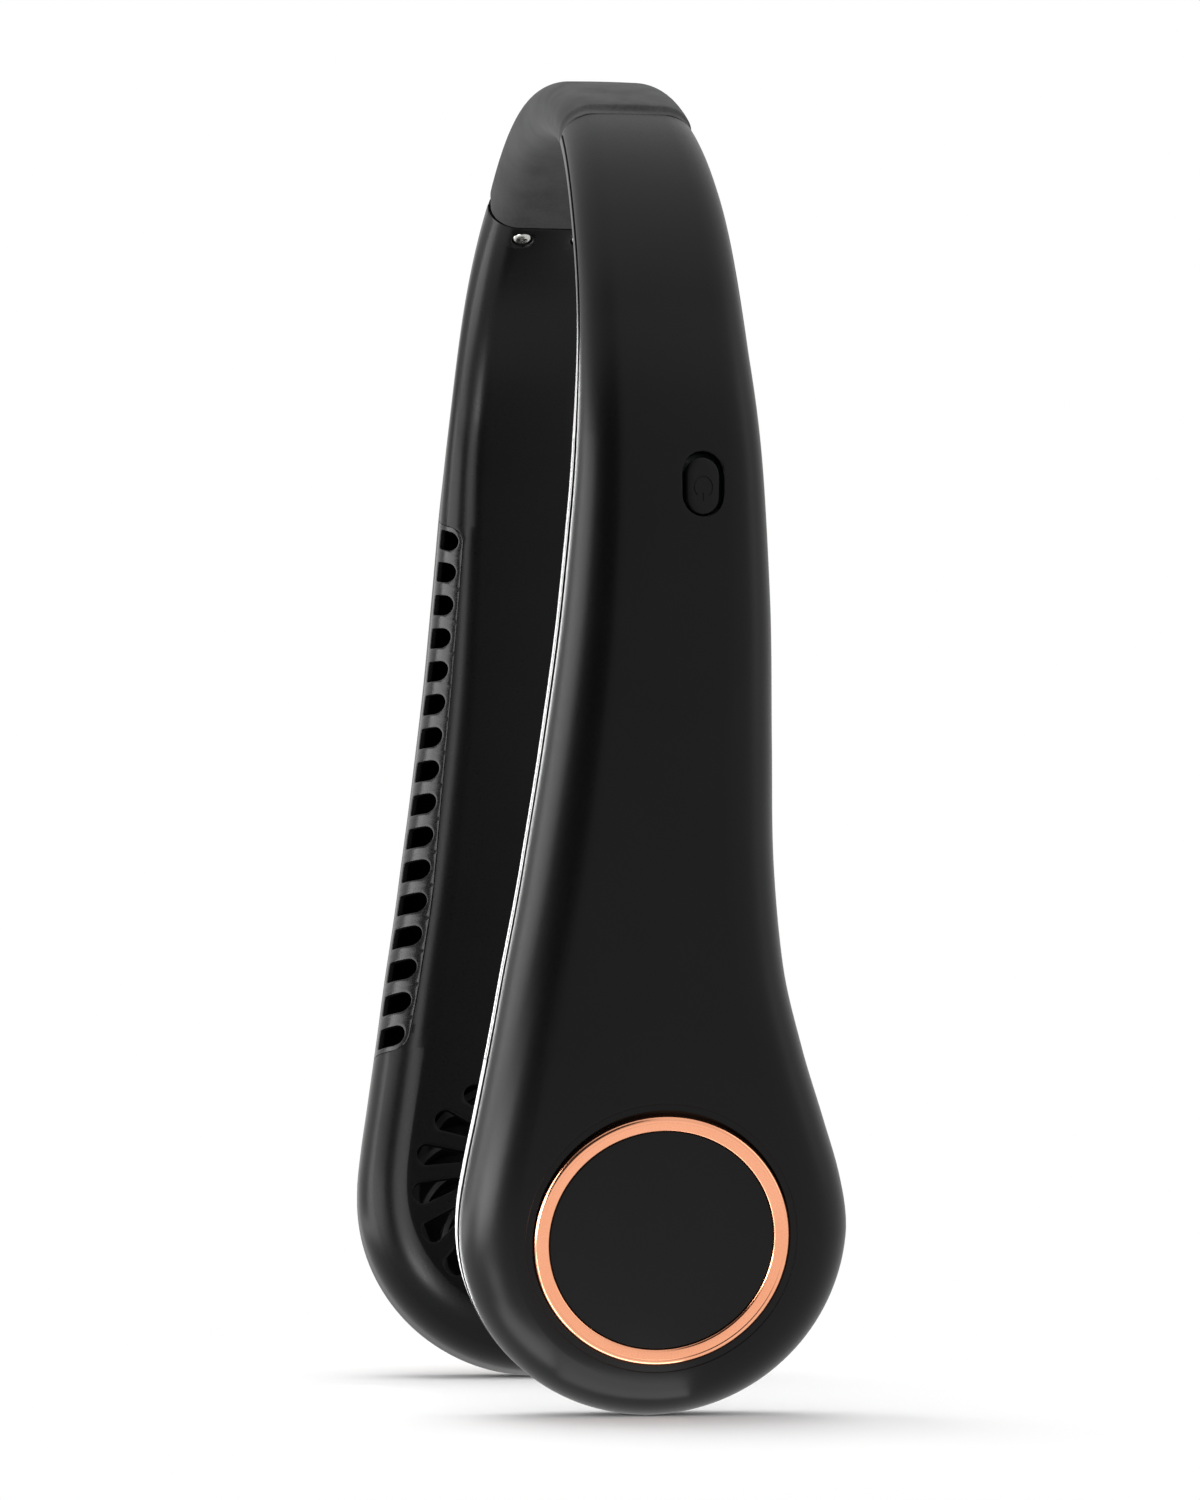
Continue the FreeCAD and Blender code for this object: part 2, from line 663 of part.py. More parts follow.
def usb_opening():
    """Give the cutting shape of the charging socket's mouth."""
    length = size("usb_width") + size("fit_gap") * 2
    height = size("usb_height") + size("fit_gap") * 2
    return stadium(usb_frame(), length, height, size("usb_depth") + size("overrun"))


left_outer, left_inner, left_strip = shells(True)
right_outer, right_inner, right_strip = shells(False)
add_shape("left_outer_shell", left_outer)
add_shape("left_inner_shell", left_inner)
add_shape("left_vent_strip", left_strip)
add_shape("right_outer_shell", mirrored(right_outer))
add_shape("right_inner_shell", mirrored(right_inner))
add_shape("right_vent_strip", mirrored(right_strip))


# Air duct walls


def duct_wall():
    """Make the wall between the air duct and the cell, from impeller to the duct's top."""
    half = size("duct_wall") / 2
    side = -size("duct_side")
    turn = math.radians(size("tongue_turn"))
    radius = size("impeller_diameter") / 2 + size("tongue_clear")
    tip = Vector(-radius * math.cos(turn), radius * math.sin(turn), 0)
    knee = Vector(-radius - size("duct_turn"), side, 0)
    bend = Vector(-size("duct_top"), side, 0)
    crook = Vector(bend.x - size("duct_turn"), side - size("duct_turn"), 0)
    end = crook - Vector(0, size("pod_diameter") / 2, 0)
    route = [tip, knee, bend, crook, end]
    strokes = []
    for first, last in zip(route, route[1:]):
        along = (last - first).normalize()
        aside = Vector(-along.y, along.x, 0) * half
        corners = [first + aside, last + aside, last - aside, first - aside]
        face = Part.Face(Part.makePolygon(corners + corners[:1]))
        strokes.append(face)
        strokes.append(Part.Face(Part.Wire(Part.makeCircle(half, last))))
    depth = size("pod_diameter")
    solids = []
    for face in strokes:
        face.translate(Vector(0, 0, -depth))
        solids.append(face.extrude(Vector(0, 0, depth * 2)))
    wall = solids[0].fuse(solids[1:]).removeSplitter()
    wall.Placement = POD
    return wall.common(arm_form(size("wall") + size("fit_gap")))


left_duct = duct_wall()
add_shape("left_duct_wall", left_duct)
add_shape("right_duct_wall", mirrored(left_duct))


# Sleeve, spring, cable and anchors


def full_sweep(start, wide, thick, edge, out=0):
    """Carry a rounded rectangle over the crown, from a place on the left to its twin."""
    left = spine.edges(spine.top, start, out)
    section = rounded_wire(spine.at(start, out), ACROSS, spine.normal(start), wide, thick, edge)
    path = Part.__sortEdges__(left + mirrored_arcs(left))
    return sweep(section, path)


def neck_sleeve():
    """Make the rubber sleeve, with its channel and the necked collar at each end."""
    wide = size("strap_width") / 2
    thick = size("strap_thickness") / 2
    edge = size("strap_edge_round")
    deep = size("collar_depth")
    far = size("overrun")
    rise = size("sleeve_rise") / 2
    sleeve = full_sweep(0, wide, thick + rise, edge + rise, rise)
    channel_edge = (size("strap_edge_round") - size("collar_depth")) / 2
    channel = full_sweep(far, size("channel_width") / 2, size("channel_height") / 2, channel_edge)
    start = -size("collar_length")
    ring = strap_sweep(start, far, wide + far, thick + far, edge)
    ring = ring.cut(strap_sweep(start - far, far + far, wide - deep, thick - deep, edge - deep))
    return sleeve.cut([channel, ring, mirrored(ring)])


def link_cable():
    """Make the cable that joins the two arms through the sleeve."""
    start = size("cable_run")
    out = -size("cable_in")
    left = spine.edges(spine.top, start, out)
    circle = Part.Wire(Part.makeCircle(size("cable_diameter") / 2, spine.at(start, out), spine.tangent(start)))
    return sweep(circle, Part.__sortEdges__(left + mirrored_arcs(left)))


def band_anchor():
    """Make the block that joins the arm to the sleeve, with its tongue, slot and holes."""
    gap = size("fit_gap")
    slack = size("tongue_slack")
    inner_edge = size("strap_edge_round") - size("wall")
    body = strap_sweep(
        0,
        size("anchor_length"),
        size("strap_width") / 2 - size("wall") - gap,
        size("strap_thickness") / 2 - size("wall") - gap,
        inner_edge,
    )
    tongue = strap_sweep(
        -size("tongue_length"),
        size("anchor_length") / 2,
        size("channel_width") / 2 - slack,
        size("channel_height") / 2 - slack,
        slack,
    )
    far = size("overrun")
    start = -size("tongue_length") - far
    slot = strap_sweep(
        start,
        size("anchor_length") / 2,
        size("spring_width") / 2 + gap,
        size("spring_thickness") / 2 + gap,
        gap,
        size("spring_out"),
    )
    end = size("anchor_length") + far
    out = -size("cable_in")
    bore = size("cable_diameter") / 2 + gap
    circle = Part.Wire(Part.makeCircle(bore, spine.at(start, out), spine.tangent(start)))
    cuts = [slot, sweep(circle, spine.edges(start, end, out))]
    for frame in screw_frames():
        reach = size("screw_sink") + size("screw_length") + gap
        cuts.append(cylinder(frame, size("screw_diameter") / 2 + gap / 2, -reach, 0))
    return body.fuse(tongue).removeSplitter().cut(cuts)


def shell_screws():
    """Make the two pan-head screws that hold the inner shell to the anchor."""
    head = size("screw_head_diameter") / 2
    height = size("screw_head_height")
    shank = size("screw_diameter") / 2
    dome = height / 2
    groove = size("screw_diameter") / 4
    seat = size("fit_gap") - size("screw_sink")
    screws = []
    for frame in screw_frames():
        outline = [
            Part.LineSegment(Vector(0, 0, -size("screw_length")), Vector(shank, 0, -size("screw_length"))),
            Part.LineSegment(Vector(shank, 0, -size("screw_length")), Vector(shank, 0, 0)),
            Part.LineSegment(Vector(shank, 0, 0), Vector(head, 0, 0)),
            Part.LineSegment(Vector(head, 0, 0), Vector(head, 0, dome)),
            Part.Arc(
                Vector(head, 0, dome),
                Vector(head * math.sqrt(1 / 2), 0, dome + dome * math.sqrt(1 / 2)),
                Vector(0, 0, height),
            ),
            Part.LineSegment(Vector(0, 0, height), Vector(0, 0, -size("screw_length"))),
        ]
        face = Part.Face(Part.Wire([line.toShape() for line in outline]))
        screw = face.revolve(MIDDLE, Vector(0, 0, 1), 360)
        arms = [
            Part.makeBox(head, groove, height, Vector(-head / 2, -groove / 2, dome)),
            Part.makeBox(groove, head, height, Vector(-groove / 2, -head / 2, dome)),
        ]
        screw = screw.cut(arms)
        screw.Placement = lifted(frame, seat - size("fit_gap"))
        screws.append(screw)
    return Part.makeCompound(screws)


add_shape("neck_sleeve", neck_sleeve())
add_shape("spring_strip", full_sweep(
    size("anchor_length") / 2 - size("fit_gap") * 2,
    size("spring_width") / 2,
    size("spring_thickness") / 2,
    size("fit_gap"),
    size("spring_out"),
))
add_shape("link_cable", link_cable())
left_anchor = band_anchor()
add_shape("left_band_anchor", left_anchor)
add_shape("right_band_anchor", mirrored(left_anchor))
left_screws = shell_screws()
add_shape("left_shell_screws", left_screws)
add_shape("right_shell_screws", mirrored(left_screws))


# Turned and padded pieces, bound to the sheet


def add_body(label, frame):
    """Start a body under its own name at a frame."""
    body = doc.addObject("PartDesign::Body", label)
    body.Label = label
    body.Placement = frame
    return body


def add_sketch(body, name, role, lift="0"):
    """Start a sketch on one of the body's own planes, lifted off it."""
    sketch = body.newObject("Sketcher::SketchObject", f"{body.Label}_{name}")
    plane = next(feature for feature in body.Origin.OriginFeatures if feature.Role == role)
    sketch.AttachmentSupport = [(plane, "")]
    sketch.MapMode = "FlatFace"
    sketch.setExpression("AttachmentOffset.Base.z", lift)
    return sketch


def pin(sketch, kind, entity, expression):
    """Hold the start of a line at an expression from the sketch's origin."""
    value = float(sketch.evalExpression(expression))
    index = sketch.addConstraint(Sketcher.Constraint(kind, -1, 1, entity, 1, value))
    sketch.setExpression(f"Constraints[{index}]", expression)


def draw_outline(sketch, corners):
    """Draw a closed outline whose corners are pairs of expressions."""
    points = [Vector(*(float(sketch.evalExpression(part)) for part in corner), 0) for corner in corners]
    total = len(points)
    for first, last in zip(points, points[1:] + points[:1]):
        sketch.addGeometry(Part.LineSegment(first, last))
    for line in range(total):
        sketch.addConstraint(Sketcher.Constraint("Coincident", line, 2, (line + 1) % total, 1))
    for line, (x, y) in enumerate(corners):
        pin(sketch, "DistanceX", line, x)
        pin(sketch, "DistanceY", line, y)


def draw_circle(sketch, radius):
    """Draw a circle about the sketch's origin."""
    value = float(sketch.evalExpression(radius))
    circle = sketch.addGeometry(Part.Circle(MIDDLE, Vector(0, 0, 1), value))
    sketch.addConstraint(Sketcher.Constraint("Coincident", circle, 3, -1, 1))
    index = sketch.addConstraint(Sketcher.Constraint("Radius", circle, value))
    sketch.setExpression(f"Constraints[{index}]", radius)


def turn_body(label, frame, corners):
    """Turn an outline of radius and height about the frame's Z."""
    body = add_body(label, frame)
    sketch = add_sketch(body, "outline", "XZ_Plane")
    draw_outline(sketch, corners)
    turned = body.newObject("PartDesign::Revolution", f"{label}_turned")
    turned.Profile = sketch
    turned.ReferenceAxis = (sketch, ["V_Axis"])
    turned.Angle = 360
    return body


def pad_on(body, sketch, name, length):
    """Pad a sketch along its normal by an expression."""
    pad = body.newObject("PartDesign::Pad", f"{body.Label}_{name}")
    pad.Profile = sketch
    pad.setExpression("Length", length)
    return pad


def pocket_through(body, sketch, name):
    """Cut a sketch right through the body, both ways."""
    pocket = body.newObject("PartDesign::Pocket", f"{body.Label}_{name}")
    pocket.Profile = sketch
    pocket.Type = "ThroughAll"
    pocket.Midplane = True
    return pocket


def repeat_round(body, feature, name, occurrences):
    """Repeat a feature round the body's Z axis."""
    axis = next(part for part in body.Origin.OriginFeatures if part.Role == "Z_Axis")
    pattern = body.newObject("PartDesign::PolarPattern", f"{body.Label}_{name}")
    pattern.Originals = [feature]
    pattern.Axis = (axis, [""])
    pattern.Angle = 360
    pattern.setExpression("Occurrences", occurrences)
    body.Tip = pattern
    return pattern


# Heights in the pod along its axis, as expressions
FACE = "Sizes.pod_thickness / 2"
FLOOR = f"({FACE} - Sizes.cap_recess)"
PLATE_TOP = f"({FACE} - Sizes.wall - Sizes.seat_thickness)"
PLATE_FOOT = f"({PLATE_TOP} - Sizes.mount_thickness)"
TUBE_END = f"({PLATE_FOOT} - Sizes.tube_length)"
STATOR_TOP = f"({PLATE_FOOT} - Sizes.collar_height)"
CUP_RIM = f"({PLATE_FOOT} - Sizes.cup_clear)"
CUP_FLOOR = f"({TUBE_END} - Sizes.cup_clear)"
CUP_END = f"({CUP_FLOOR} - Sizes.cup_floor)"
HUB_FLOOR = f"({CUP_END} - Sizes.run_gap)"
HUB_END = f"({HUB_FLOOR} - Sizes.hub_floor)"
BACK_TOP = f"({PLATE_FOOT} - Sizes.plate_clear)"
BACK_FOOT = f"({BACK_TOP} - Sizes.plate_thickness)"
BLADE_END = f"({BACK_FOOT} - Sizes.blade_height)"
SHAFT_RADIUS = "Sizes.shaft_diameter / 2"
CUP_RADIUS = "Sizes.cup_diameter / 2"
HUB_BORE = f"({CUP_RADIUS} + Sizes.run_gap)"
HUB_RADIUS = f"({HUB_BORE} + Sizes.hub_wall)"
FAN_RADIUS = "Sizes.impeller_diameter / 2"


def trim_ring(side, frame):
    """Turn the polished ring, bevelled inside and out."""
    outer = "Sizes.ring_diameter / 2"
    inner = f"({outer} - Sizes.ring_band)"
    top = f"({FACE} + Sizes.ring_proud)"
    shoulder = f"({top} - Sizes.ring_bevel)"
    return turn_body(f"{side}_trim_ring", frame, [
        (inner, FLOOR),
        (outer, FLOOR),
        (outer, shoulder),
        (f"{outer} - Sizes.ring_bevel", top),
        (f"{inner} + Sizes.ring_bevel", top),
        (inner, shoulder),
    ])


def cap_disc(side, frame):
    """Turn the plain cap inside the ring."""
    radius = "(Sizes.ring_diameter / 2 - Sizes.ring_band - Sizes.cap_gap)"
    top = f"({FACE} - Sizes.cap_sunk)"
    return turn_body(f"{side}_cap_disc", frame, [
        ("0", FLOOR),
        (radius, FLOOR),
        (radius, f"{top} - Sizes.cap_edge"),
        (f"{radius} - Sizes.cap_edge", top),
        ("0", top),
    ])


def motor_mount(side, frame):
    """Turn the motor plate with its stator seat and bearing tube."""
    tube = "Sizes.tube_diameter / 2"
    bore = "(Sizes.bearing_diameter / 2 + Sizes.run_gap)"
    return turn_body(f"{side}_motor_mount", frame, [
        ("0", PLATE_TOP),
        ("Sizes.mount_diameter / 2", PLATE_TOP),
        ("Sizes.mount_diameter / 2", PLATE_FOOT),
        ("Sizes.collar_diameter / 2", PLATE_FOOT),
        ("Sizes.collar_diameter / 2", STATOR_TOP),
        (tube, STATOR_TOP),
        (tube, TUBE_END),
        (bore, TUBE_END),
        (bore, PLATE_FOOT),
        ("0", PLATE_FOOT),
    ])


def bearing(side, frame):
    """Turn the sleeve bearing."""
    outer = "Sizes.bearing_diameter / 2"
    inner = f"{SHAFT_RADIUS} + Sizes.run_gap"
    return turn_body(f"{side}_bearing", frame, [
        (inner, TUBE_END), (outer, TUBE_END), (outer, PLATE_FOOT), (inner, PLATE_FOOT),
    ])


def stator(side, frame):
    """Turn the stator and cut its winding slots."""
    inner = "Sizes.tube_diameter / 2 + Sizes.run_gap"
    outer = "Sizes.stator_diameter / 2"
    foot = f"{STATOR_TOP} - Sizes.stator_height"
    body = turn_body(f"{side}_stator", frame, [
        (inner, foot), (outer, foot), (outer, STATOR_TOP), (inner, STATOR_TOP),
    ])
    sketch = add_sketch(body, "slot", "XY_Plane", STATOR_TOP)
    edge = "Sizes.stator_slot_width / 2"
    deep = f"({outer} - Sizes.stator_slot_depth)"
    past = f"({outer} + Sizes.overrun)"
    draw_outline(sketch, [(deep, f"0 - {edge}"), (past, f"0 - {edge}"), (past, edge), (deep, edge)])
    slot = pocket_through(body, sketch, "slot_cut")
    repeat_round(body, slot, "slots", "Sizes.stator_slots")
    return body


def rotor_cup(side, frame):
    """Turn the rotor cup that closes over the stator."""
    inner = f"({CUP_RADIUS} - Sizes.cup_wall)"
    bore = f"({SHAFT_RADIUS} + Sizes.run_gap)"
    return turn_body(f"{side}_rotor_cup", frame, [
        (bore, CUP_END), (CUP_RADIUS, CUP_END), (CUP_RADIUS, CUP_RIM),
        (inner, CUP_RIM), (inner, CUP_FLOOR), (bore, CUP_FLOOR),
    ])


def motor_shaft(side, frame):
    """Turn the motor shaft."""
    top = f"{PLATE_FOOT} - Sizes.shaft_short"
    return turn_body(f"{side}_motor_shaft", frame, [
        ("0", CUP_END), (SHAFT_RADIUS, CUP_END), (SHAFT_RADIUS, top), ("0", top),
    ])


def draw_blade(sketch, hand):
    """Draw one curved blade from its inner to its outer end, as two arcs and two end lines."""
    near = size("blade_inner")
    far = size("impeller_diameter") / 2 - size("shroud_band") / 2
    sweep_turn = math.radians(size("blade_sweep")) * hand
    root = Vector(near, 0, 0)
    tip = Vector(far * math.cos(sweep_turn), far * math.sin(sweep_turn), 0)
    chord = tip - root
    bend = size("blade_bend")
    aside = Vector(-chord.y, chord.x, 0).normalize() * hand
    centre = (root + tip) * (1 / 2) + aside * math.sqrt(bend ** 2 - (chord.Length / 2) ** 2)
    crest = centre - aside * bend
    half = size("blade_thickness") / 2

    def move(point, step):
        return centre + (point - centre) * (1 + step / bend)

    outside = [move(point, half) for point in (root, crest, tip)]
    inside = [move(point, -half) for point in (root, crest, tip)]
    sketch.addGeometry(Part.Arc(*outside))
    sketch.addGeometry(Part.LineSegment(outside[2], inside[2]))
    sketch.addGeometry(Part.Arc(*reversed(inside)))
    sketch.addGeometry(Part.LineSegment(inside[0], outside[0]))


def impeller(side, frame, hand):
    """Make the impeller: hub and back plate, curved blades and their stiffening ring."""
    body = turn_body(f"{side}_impeller", frame, [
        ("0", HUB_END), (HUB_RADIUS, HUB_END), (HUB_RADIUS, BACK_FOOT), (FAN_RADIUS, BACK_FOOT),
        (FAN_RADIUS, BACK_TOP), (HUB_BORE, BACK_TOP), (HUB_BORE, HUB_FLOOR), ("0", HUB_FLOOR),
    ])
    sketch = add_sketch(body, "blade", "XY_Plane", BLADE_END)
    draw_blade(sketch, hand)
    blade = pad_on(body, sketch, "blade_pad", "Sizes.blade_height")
    repeat_round(body, blade, "blades", "Sizes.blade_count")
    ring = add_sketch(body, "ring", "XY_Plane", BLADE_END)
    draw_circle(ring, FAN_RADIUS)
    draw_circle(ring, f"{FAN_RADIUS} - Sizes.shroud_band")
    pad_on(body, ring, "ring_pad", "Sizes.shroud_height")
    return body


def battery(side, frame):
    """Turn the cell, with rounded ends and a raised terminal."""
    radius = "Sizes.battery_diameter / 2"
    half = "Sizes.battery_length / 2"
    edge = "Sizes.battery_edge"
    nub = "Sizes.terminal_diameter / 2"
    return turn_body(f"{side}_battery", frame, [
        ("0", f"0 - {half}"), (f"{radius} - {edge}", f"0 - {half}"), (radius, f"{edge} - {half}"),
        (radius, f"{half} - {edge}"), (f"{radius} - {edge}", half), (nub, half),
        (nub, f"{half} + Sizes.terminal_height"), ("0", f"{half} + Sizes.terminal_height"),
    ])


def flipped(frame):
    """Give a frame's twin on the right arm, with its Y turned over to stay right-handed."""
    base = Vector(-frame.Base.x, frame.Base.y, frame.Base.z)
    down = frame.Rotation.multVec(Vector(1, 0, 0))
    out = frame.Rotation.multVec(Vector(0, 0, 1))
    down.x = -down.x
    out.x = -out.x
    return Placement(base, Rotation(down, out.cross(down), out, "ZXY"))


def cell_frame():
    """Give the frame of the cell, Z up the arm."""
    along = size("battery_along")
    up = spine.tangent(along) * -1
    turned = Rotation(spine.normal(along), up.cross(spine.normal(along)), up, "ZXY")
    sag = size("battery_length") ** 2 / (spine.lower_bend * 16)
    return Placement(spine.at(along, -sag) + ACROSS * size("battery_side"), turned)


for side, hand, pod, cell in (
    ("left", 1, POD, cell_frame()),
    ("right", -1, flipped(POD), flipped(cell_frame())),
):
    trim_ring(side, pod)
    cap_disc(side, pod)
    motor_mount(side, pod)
    bearing(side, pod)
    stator(side, pod)
    rotor_cup(side, pod)
    motor_shaft(side, pod)
    impeller(side, pod, hand)
    battery(side, cell)


# Controls in the left arm


def draw_stadium(sketch, length, width):
    """Draw a round-ended outline, long along the sketch's X, from two expressions."""
    wide = float(sketch.evalExpression(width)) / 2
    reach = float(sketch.evalExpression(length)) / 2 - wide
    sketch.addGeometry(Part.LineSegment(Vector(-reach, -wide, 0), Vector(reach, -wide, 0)))
    sketch.addGeometry(Part.Arc(Vector(reach, -wide, 0), Vector(reach + wide, 0, 0), Vector(reach, wide, 0)))
    sketch.addGeometry(Part.LineSegment(Vector(reach, wide, 0), Vector(-reach, wide, 0)))
    sketch.addGeometry(Part.Arc(Vector(-reach, wide, 0), Vector(-reach - wide, 0, 0), Vector(-reach, -wide, 0)))
    for first, last in ((0, 1), (1, 2), (2, 3), (3, 0)):
        sketch.addConstraint(Sketcher.Constraint("Tangent", first, 2, last, 1))
    sketch.addConstraint(Sketcher.Constraint("Symmetric", 1, 3, 3, 3, -1, 1))
    sketch.addConstraint(Sketcher.Constraint("Horizontal", 0))
    spread = sketch.addConstraint(Sketcher.Constraint("DistanceX", 0, 1, 0, 2, reach * 2))
    sketch.setExpression(f"Constraints[{spread}]", f"{length} - {width}")
    bow = sketch.addConstraint(Sketcher.Constraint("Radius", 1, wide))
    sketch.setExpression(f"Constraints[{bow}]", f"({width}) / 2")


def power_button():
    """Pad the button's retaining flange and its face, with a rounded edge."""
    body = add_body("power_button", lifted(BUTTON, BUTTON_FOOT))
    flange = add_sketch(body, "flange", "XY_Plane")
    draw_stadium(flange, "(Sizes.button_length + Sizes.wall)", "(Sizes.button_width + Sizes.wall)")
    pad_on(body, flange, "flange_pad", "Sizes.button_flange")
    face = add_sketch(body, "face", "XY_Plane")
    draw_stadium(face, "Sizes.button_length", "Sizes.button_width")
    rise = "Sizes.button_flange + Sizes.button_slack + Sizes.wall - Sizes.button_sunk"
    pad = pad_on(body, face, "face_pad", rise)
    doc.recompute()
    top = max(range(len(pad.Shape.Faces)), key=lambda index: pad.Shape.Faces[index].CenterOfMass.z)
    rounded = body.newObject("PartDesign::Fillet", "power_button_edge")
    rounded.Base = (pad, [f"Face{top + 1}"])
    rounded.setExpression("Radius", "Sizes.button_edge")
    return body


def switch_plunger():
    """Pad the round plunger between button and switch."""
    body = add_body("switch_plunger", lifted(BUTTON, PLUNGER_FOOT))
    sketch = add_sketch(body, "round", "XY_Plane")
    draw_circle(sketch, "Sizes.plunger_diameter / 2")
    pad_on(body, sketch, "round_pad", "Sizes.plunger_height")
    return body


def draw_rectangle(sketch, low_x, high_x, low_y, high_y):
    """Draw a rectangle between four expressions."""
    draw_outline(sketch, [(low_x, low_y), (high_x, low_y), (high_x, high_y), (low_x, high_y)])


def tact_switch():
    """Pad the switch case and bore it for the plunger."""
    body = add_body("tact_switch", lifted(BUTTON, BOARD_FACE))
    case = add_sketch(body, "case", "XY_Plane")
    half = "Sizes.switch_side / 2"
    draw_rectangle(case, f"0 - {half}", half, f"0 - {half}", half)
    draw_circle(case, "Sizes.plunger_diameter / 2 + Sizes.fit_gap")
    pad_on(body, case, "case_pad", "Sizes.switch_height")
    return body


def control_board():
    """Pad the control board."""
    body = add_body("control_board", lifted(BOARD, BOARD_BACK))
    sketch = add_sketch(body, "sheet", "XY_Plane")
    half = "Sizes.board_length / 2"
    draw_rectangle(sketch, f"0 - {half}", half, "0 - Sizes.board_edge", "Sizes.board_width - Sizes.board_edge")
    pad_on(body, sketch, "sheet_pad", "Sizes.board_thickness")
    return body


def usb_socket():
    """Pad the charging socket's drawn case and hollow it from its mouth."""
    body = add_body("usb_socket", usb_frame())
    case = add_sketch(body, "case", "XY_Plane")
    draw_stadium(case, "Sizes.usb_width", "Sizes.usb_height")
    pad_on(body, case, "case_pad", "Sizes.usb_depth")
    hollow = add_sketch(body, "mouth", "XY_Plane", "Sizes.usb_depth")
    draw_stadium(hollow, "(Sizes.usb_width - Sizes.usb_wall * 2)", "(Sizes.usb_height - Sizes.usb_wall * 2)")
    cut = body.newObject("PartDesign::Pocket", "usb_socket_hollow")
    cut.Profile = hollow
    cut.setExpression("Length", "Sizes.usb_depth - Sizes.wall")
    return body


power_button()
switch_plunger()
tact_switch()
control_board()
usb_socket()

# Test every object, then write each piece


def finished_pieces():
    """Give the pieces that leave the document: the bodies and the lone shapes."""
    return [part for part in doc.Objects if part.TypeId in ("PartDesign::Body", "Part::Feature")]


doc.recompute()
for item in doc.Objects:
    if "Invalid" in item.State or "Error" in item.State:
        raise RuntimeError(f"{item.Label} did not build: {item.State}")
for piece in finished_pieces():
    if piece.Shape.isNull() or not piece.Shape.isValid() or not piece.Shape.Solids:
        raise RuntimeError(f"{piece.Label} is not a valid solid")

os.makedirs("parts", exist_ok=True)
for piece in finished_pieces():
    piece.Shape.exportStep(f"parts/{piece.Label}.step")
    print(piece.Label, len(piece.Shape.Solids), round(piece.Shape.Volume, 1))
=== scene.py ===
import logging
import math
from dataclasses import dataclass
from enum import Enum
from typing import Callable, Sequence

import bpy
from mathutils import Matrix, Vector


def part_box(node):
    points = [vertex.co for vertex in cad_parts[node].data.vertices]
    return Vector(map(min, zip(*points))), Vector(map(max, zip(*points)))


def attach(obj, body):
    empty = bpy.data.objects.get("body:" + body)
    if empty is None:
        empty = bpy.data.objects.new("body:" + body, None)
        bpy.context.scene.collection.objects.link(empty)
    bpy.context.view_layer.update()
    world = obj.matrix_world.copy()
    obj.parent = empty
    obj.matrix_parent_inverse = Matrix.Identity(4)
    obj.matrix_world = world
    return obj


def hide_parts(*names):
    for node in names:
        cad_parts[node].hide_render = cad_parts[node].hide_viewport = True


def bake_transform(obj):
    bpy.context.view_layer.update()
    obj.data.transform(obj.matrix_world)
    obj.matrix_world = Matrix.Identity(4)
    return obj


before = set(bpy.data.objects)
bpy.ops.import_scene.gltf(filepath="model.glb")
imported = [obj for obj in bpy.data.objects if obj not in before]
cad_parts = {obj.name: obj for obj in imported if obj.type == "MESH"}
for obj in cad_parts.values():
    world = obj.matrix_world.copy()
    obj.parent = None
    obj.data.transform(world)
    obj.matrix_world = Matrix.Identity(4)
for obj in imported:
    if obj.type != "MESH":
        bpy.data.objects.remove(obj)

LOG = logging.getLogger("neck_fan")
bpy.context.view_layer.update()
# A millimetre in metres, and how close together corners are merged.
MM = 0.001
MERGE_MM = 0.004
# Place of a grid's corner and of a point of the plan, an outline, and a block of a grid's columns and rows.
Place = Callable[[int, int], Vector]
Skin = Callable[[float, float], Vector]
Loop = Sequence[tuple[float, float]]
Block = tuple[int, int, int, int]
Piece = bpy.types.Object
Tree = bpy.types.NodeTree
Socket = bpy.types.NodeSocket


class Arm(Enum):
    """The two arms, each with its side of the middle plane."""

    LEFT = 1
    RIGHT = -1

    @property
    def label(self) -> str:
        """Name of the arm in node and piece names."""
        return self.name.lower()

    @property
    def body(self) -> str:
        """Name of the arm's body."""
        return f"{self.label}_arm"


def deselect() -> None:
    """Clear the selection, so that an operator acts on one piece only."""
    bpy.ops.object.select_all(action="DESELECT")


def activate(piece: Piece) -> None:
    """Select one piece alone and make it the active one."""
    deselect()
    piece.select_set(True)
    bpy.context.view_layer.objects.active = piece


def edit_faces(piece: Piece, *steps: Callable[[], object]) -> None:
    """Run operators on all faces of a piece, in edit mode."""
    activate(piece)
    bpy.ops.object.mode_set(mode="EDIT")
    bpy.ops.mesh.select_all(action="SELECT")
    for step in steps:
        step()
    bpy.ops.object.mode_set(mode="OBJECT")


def align_faces() -> None:
    """Turn the chosen faces to one side of the mesh."""
    bpy.ops.mesh.normals_make_consistent(inside=False)


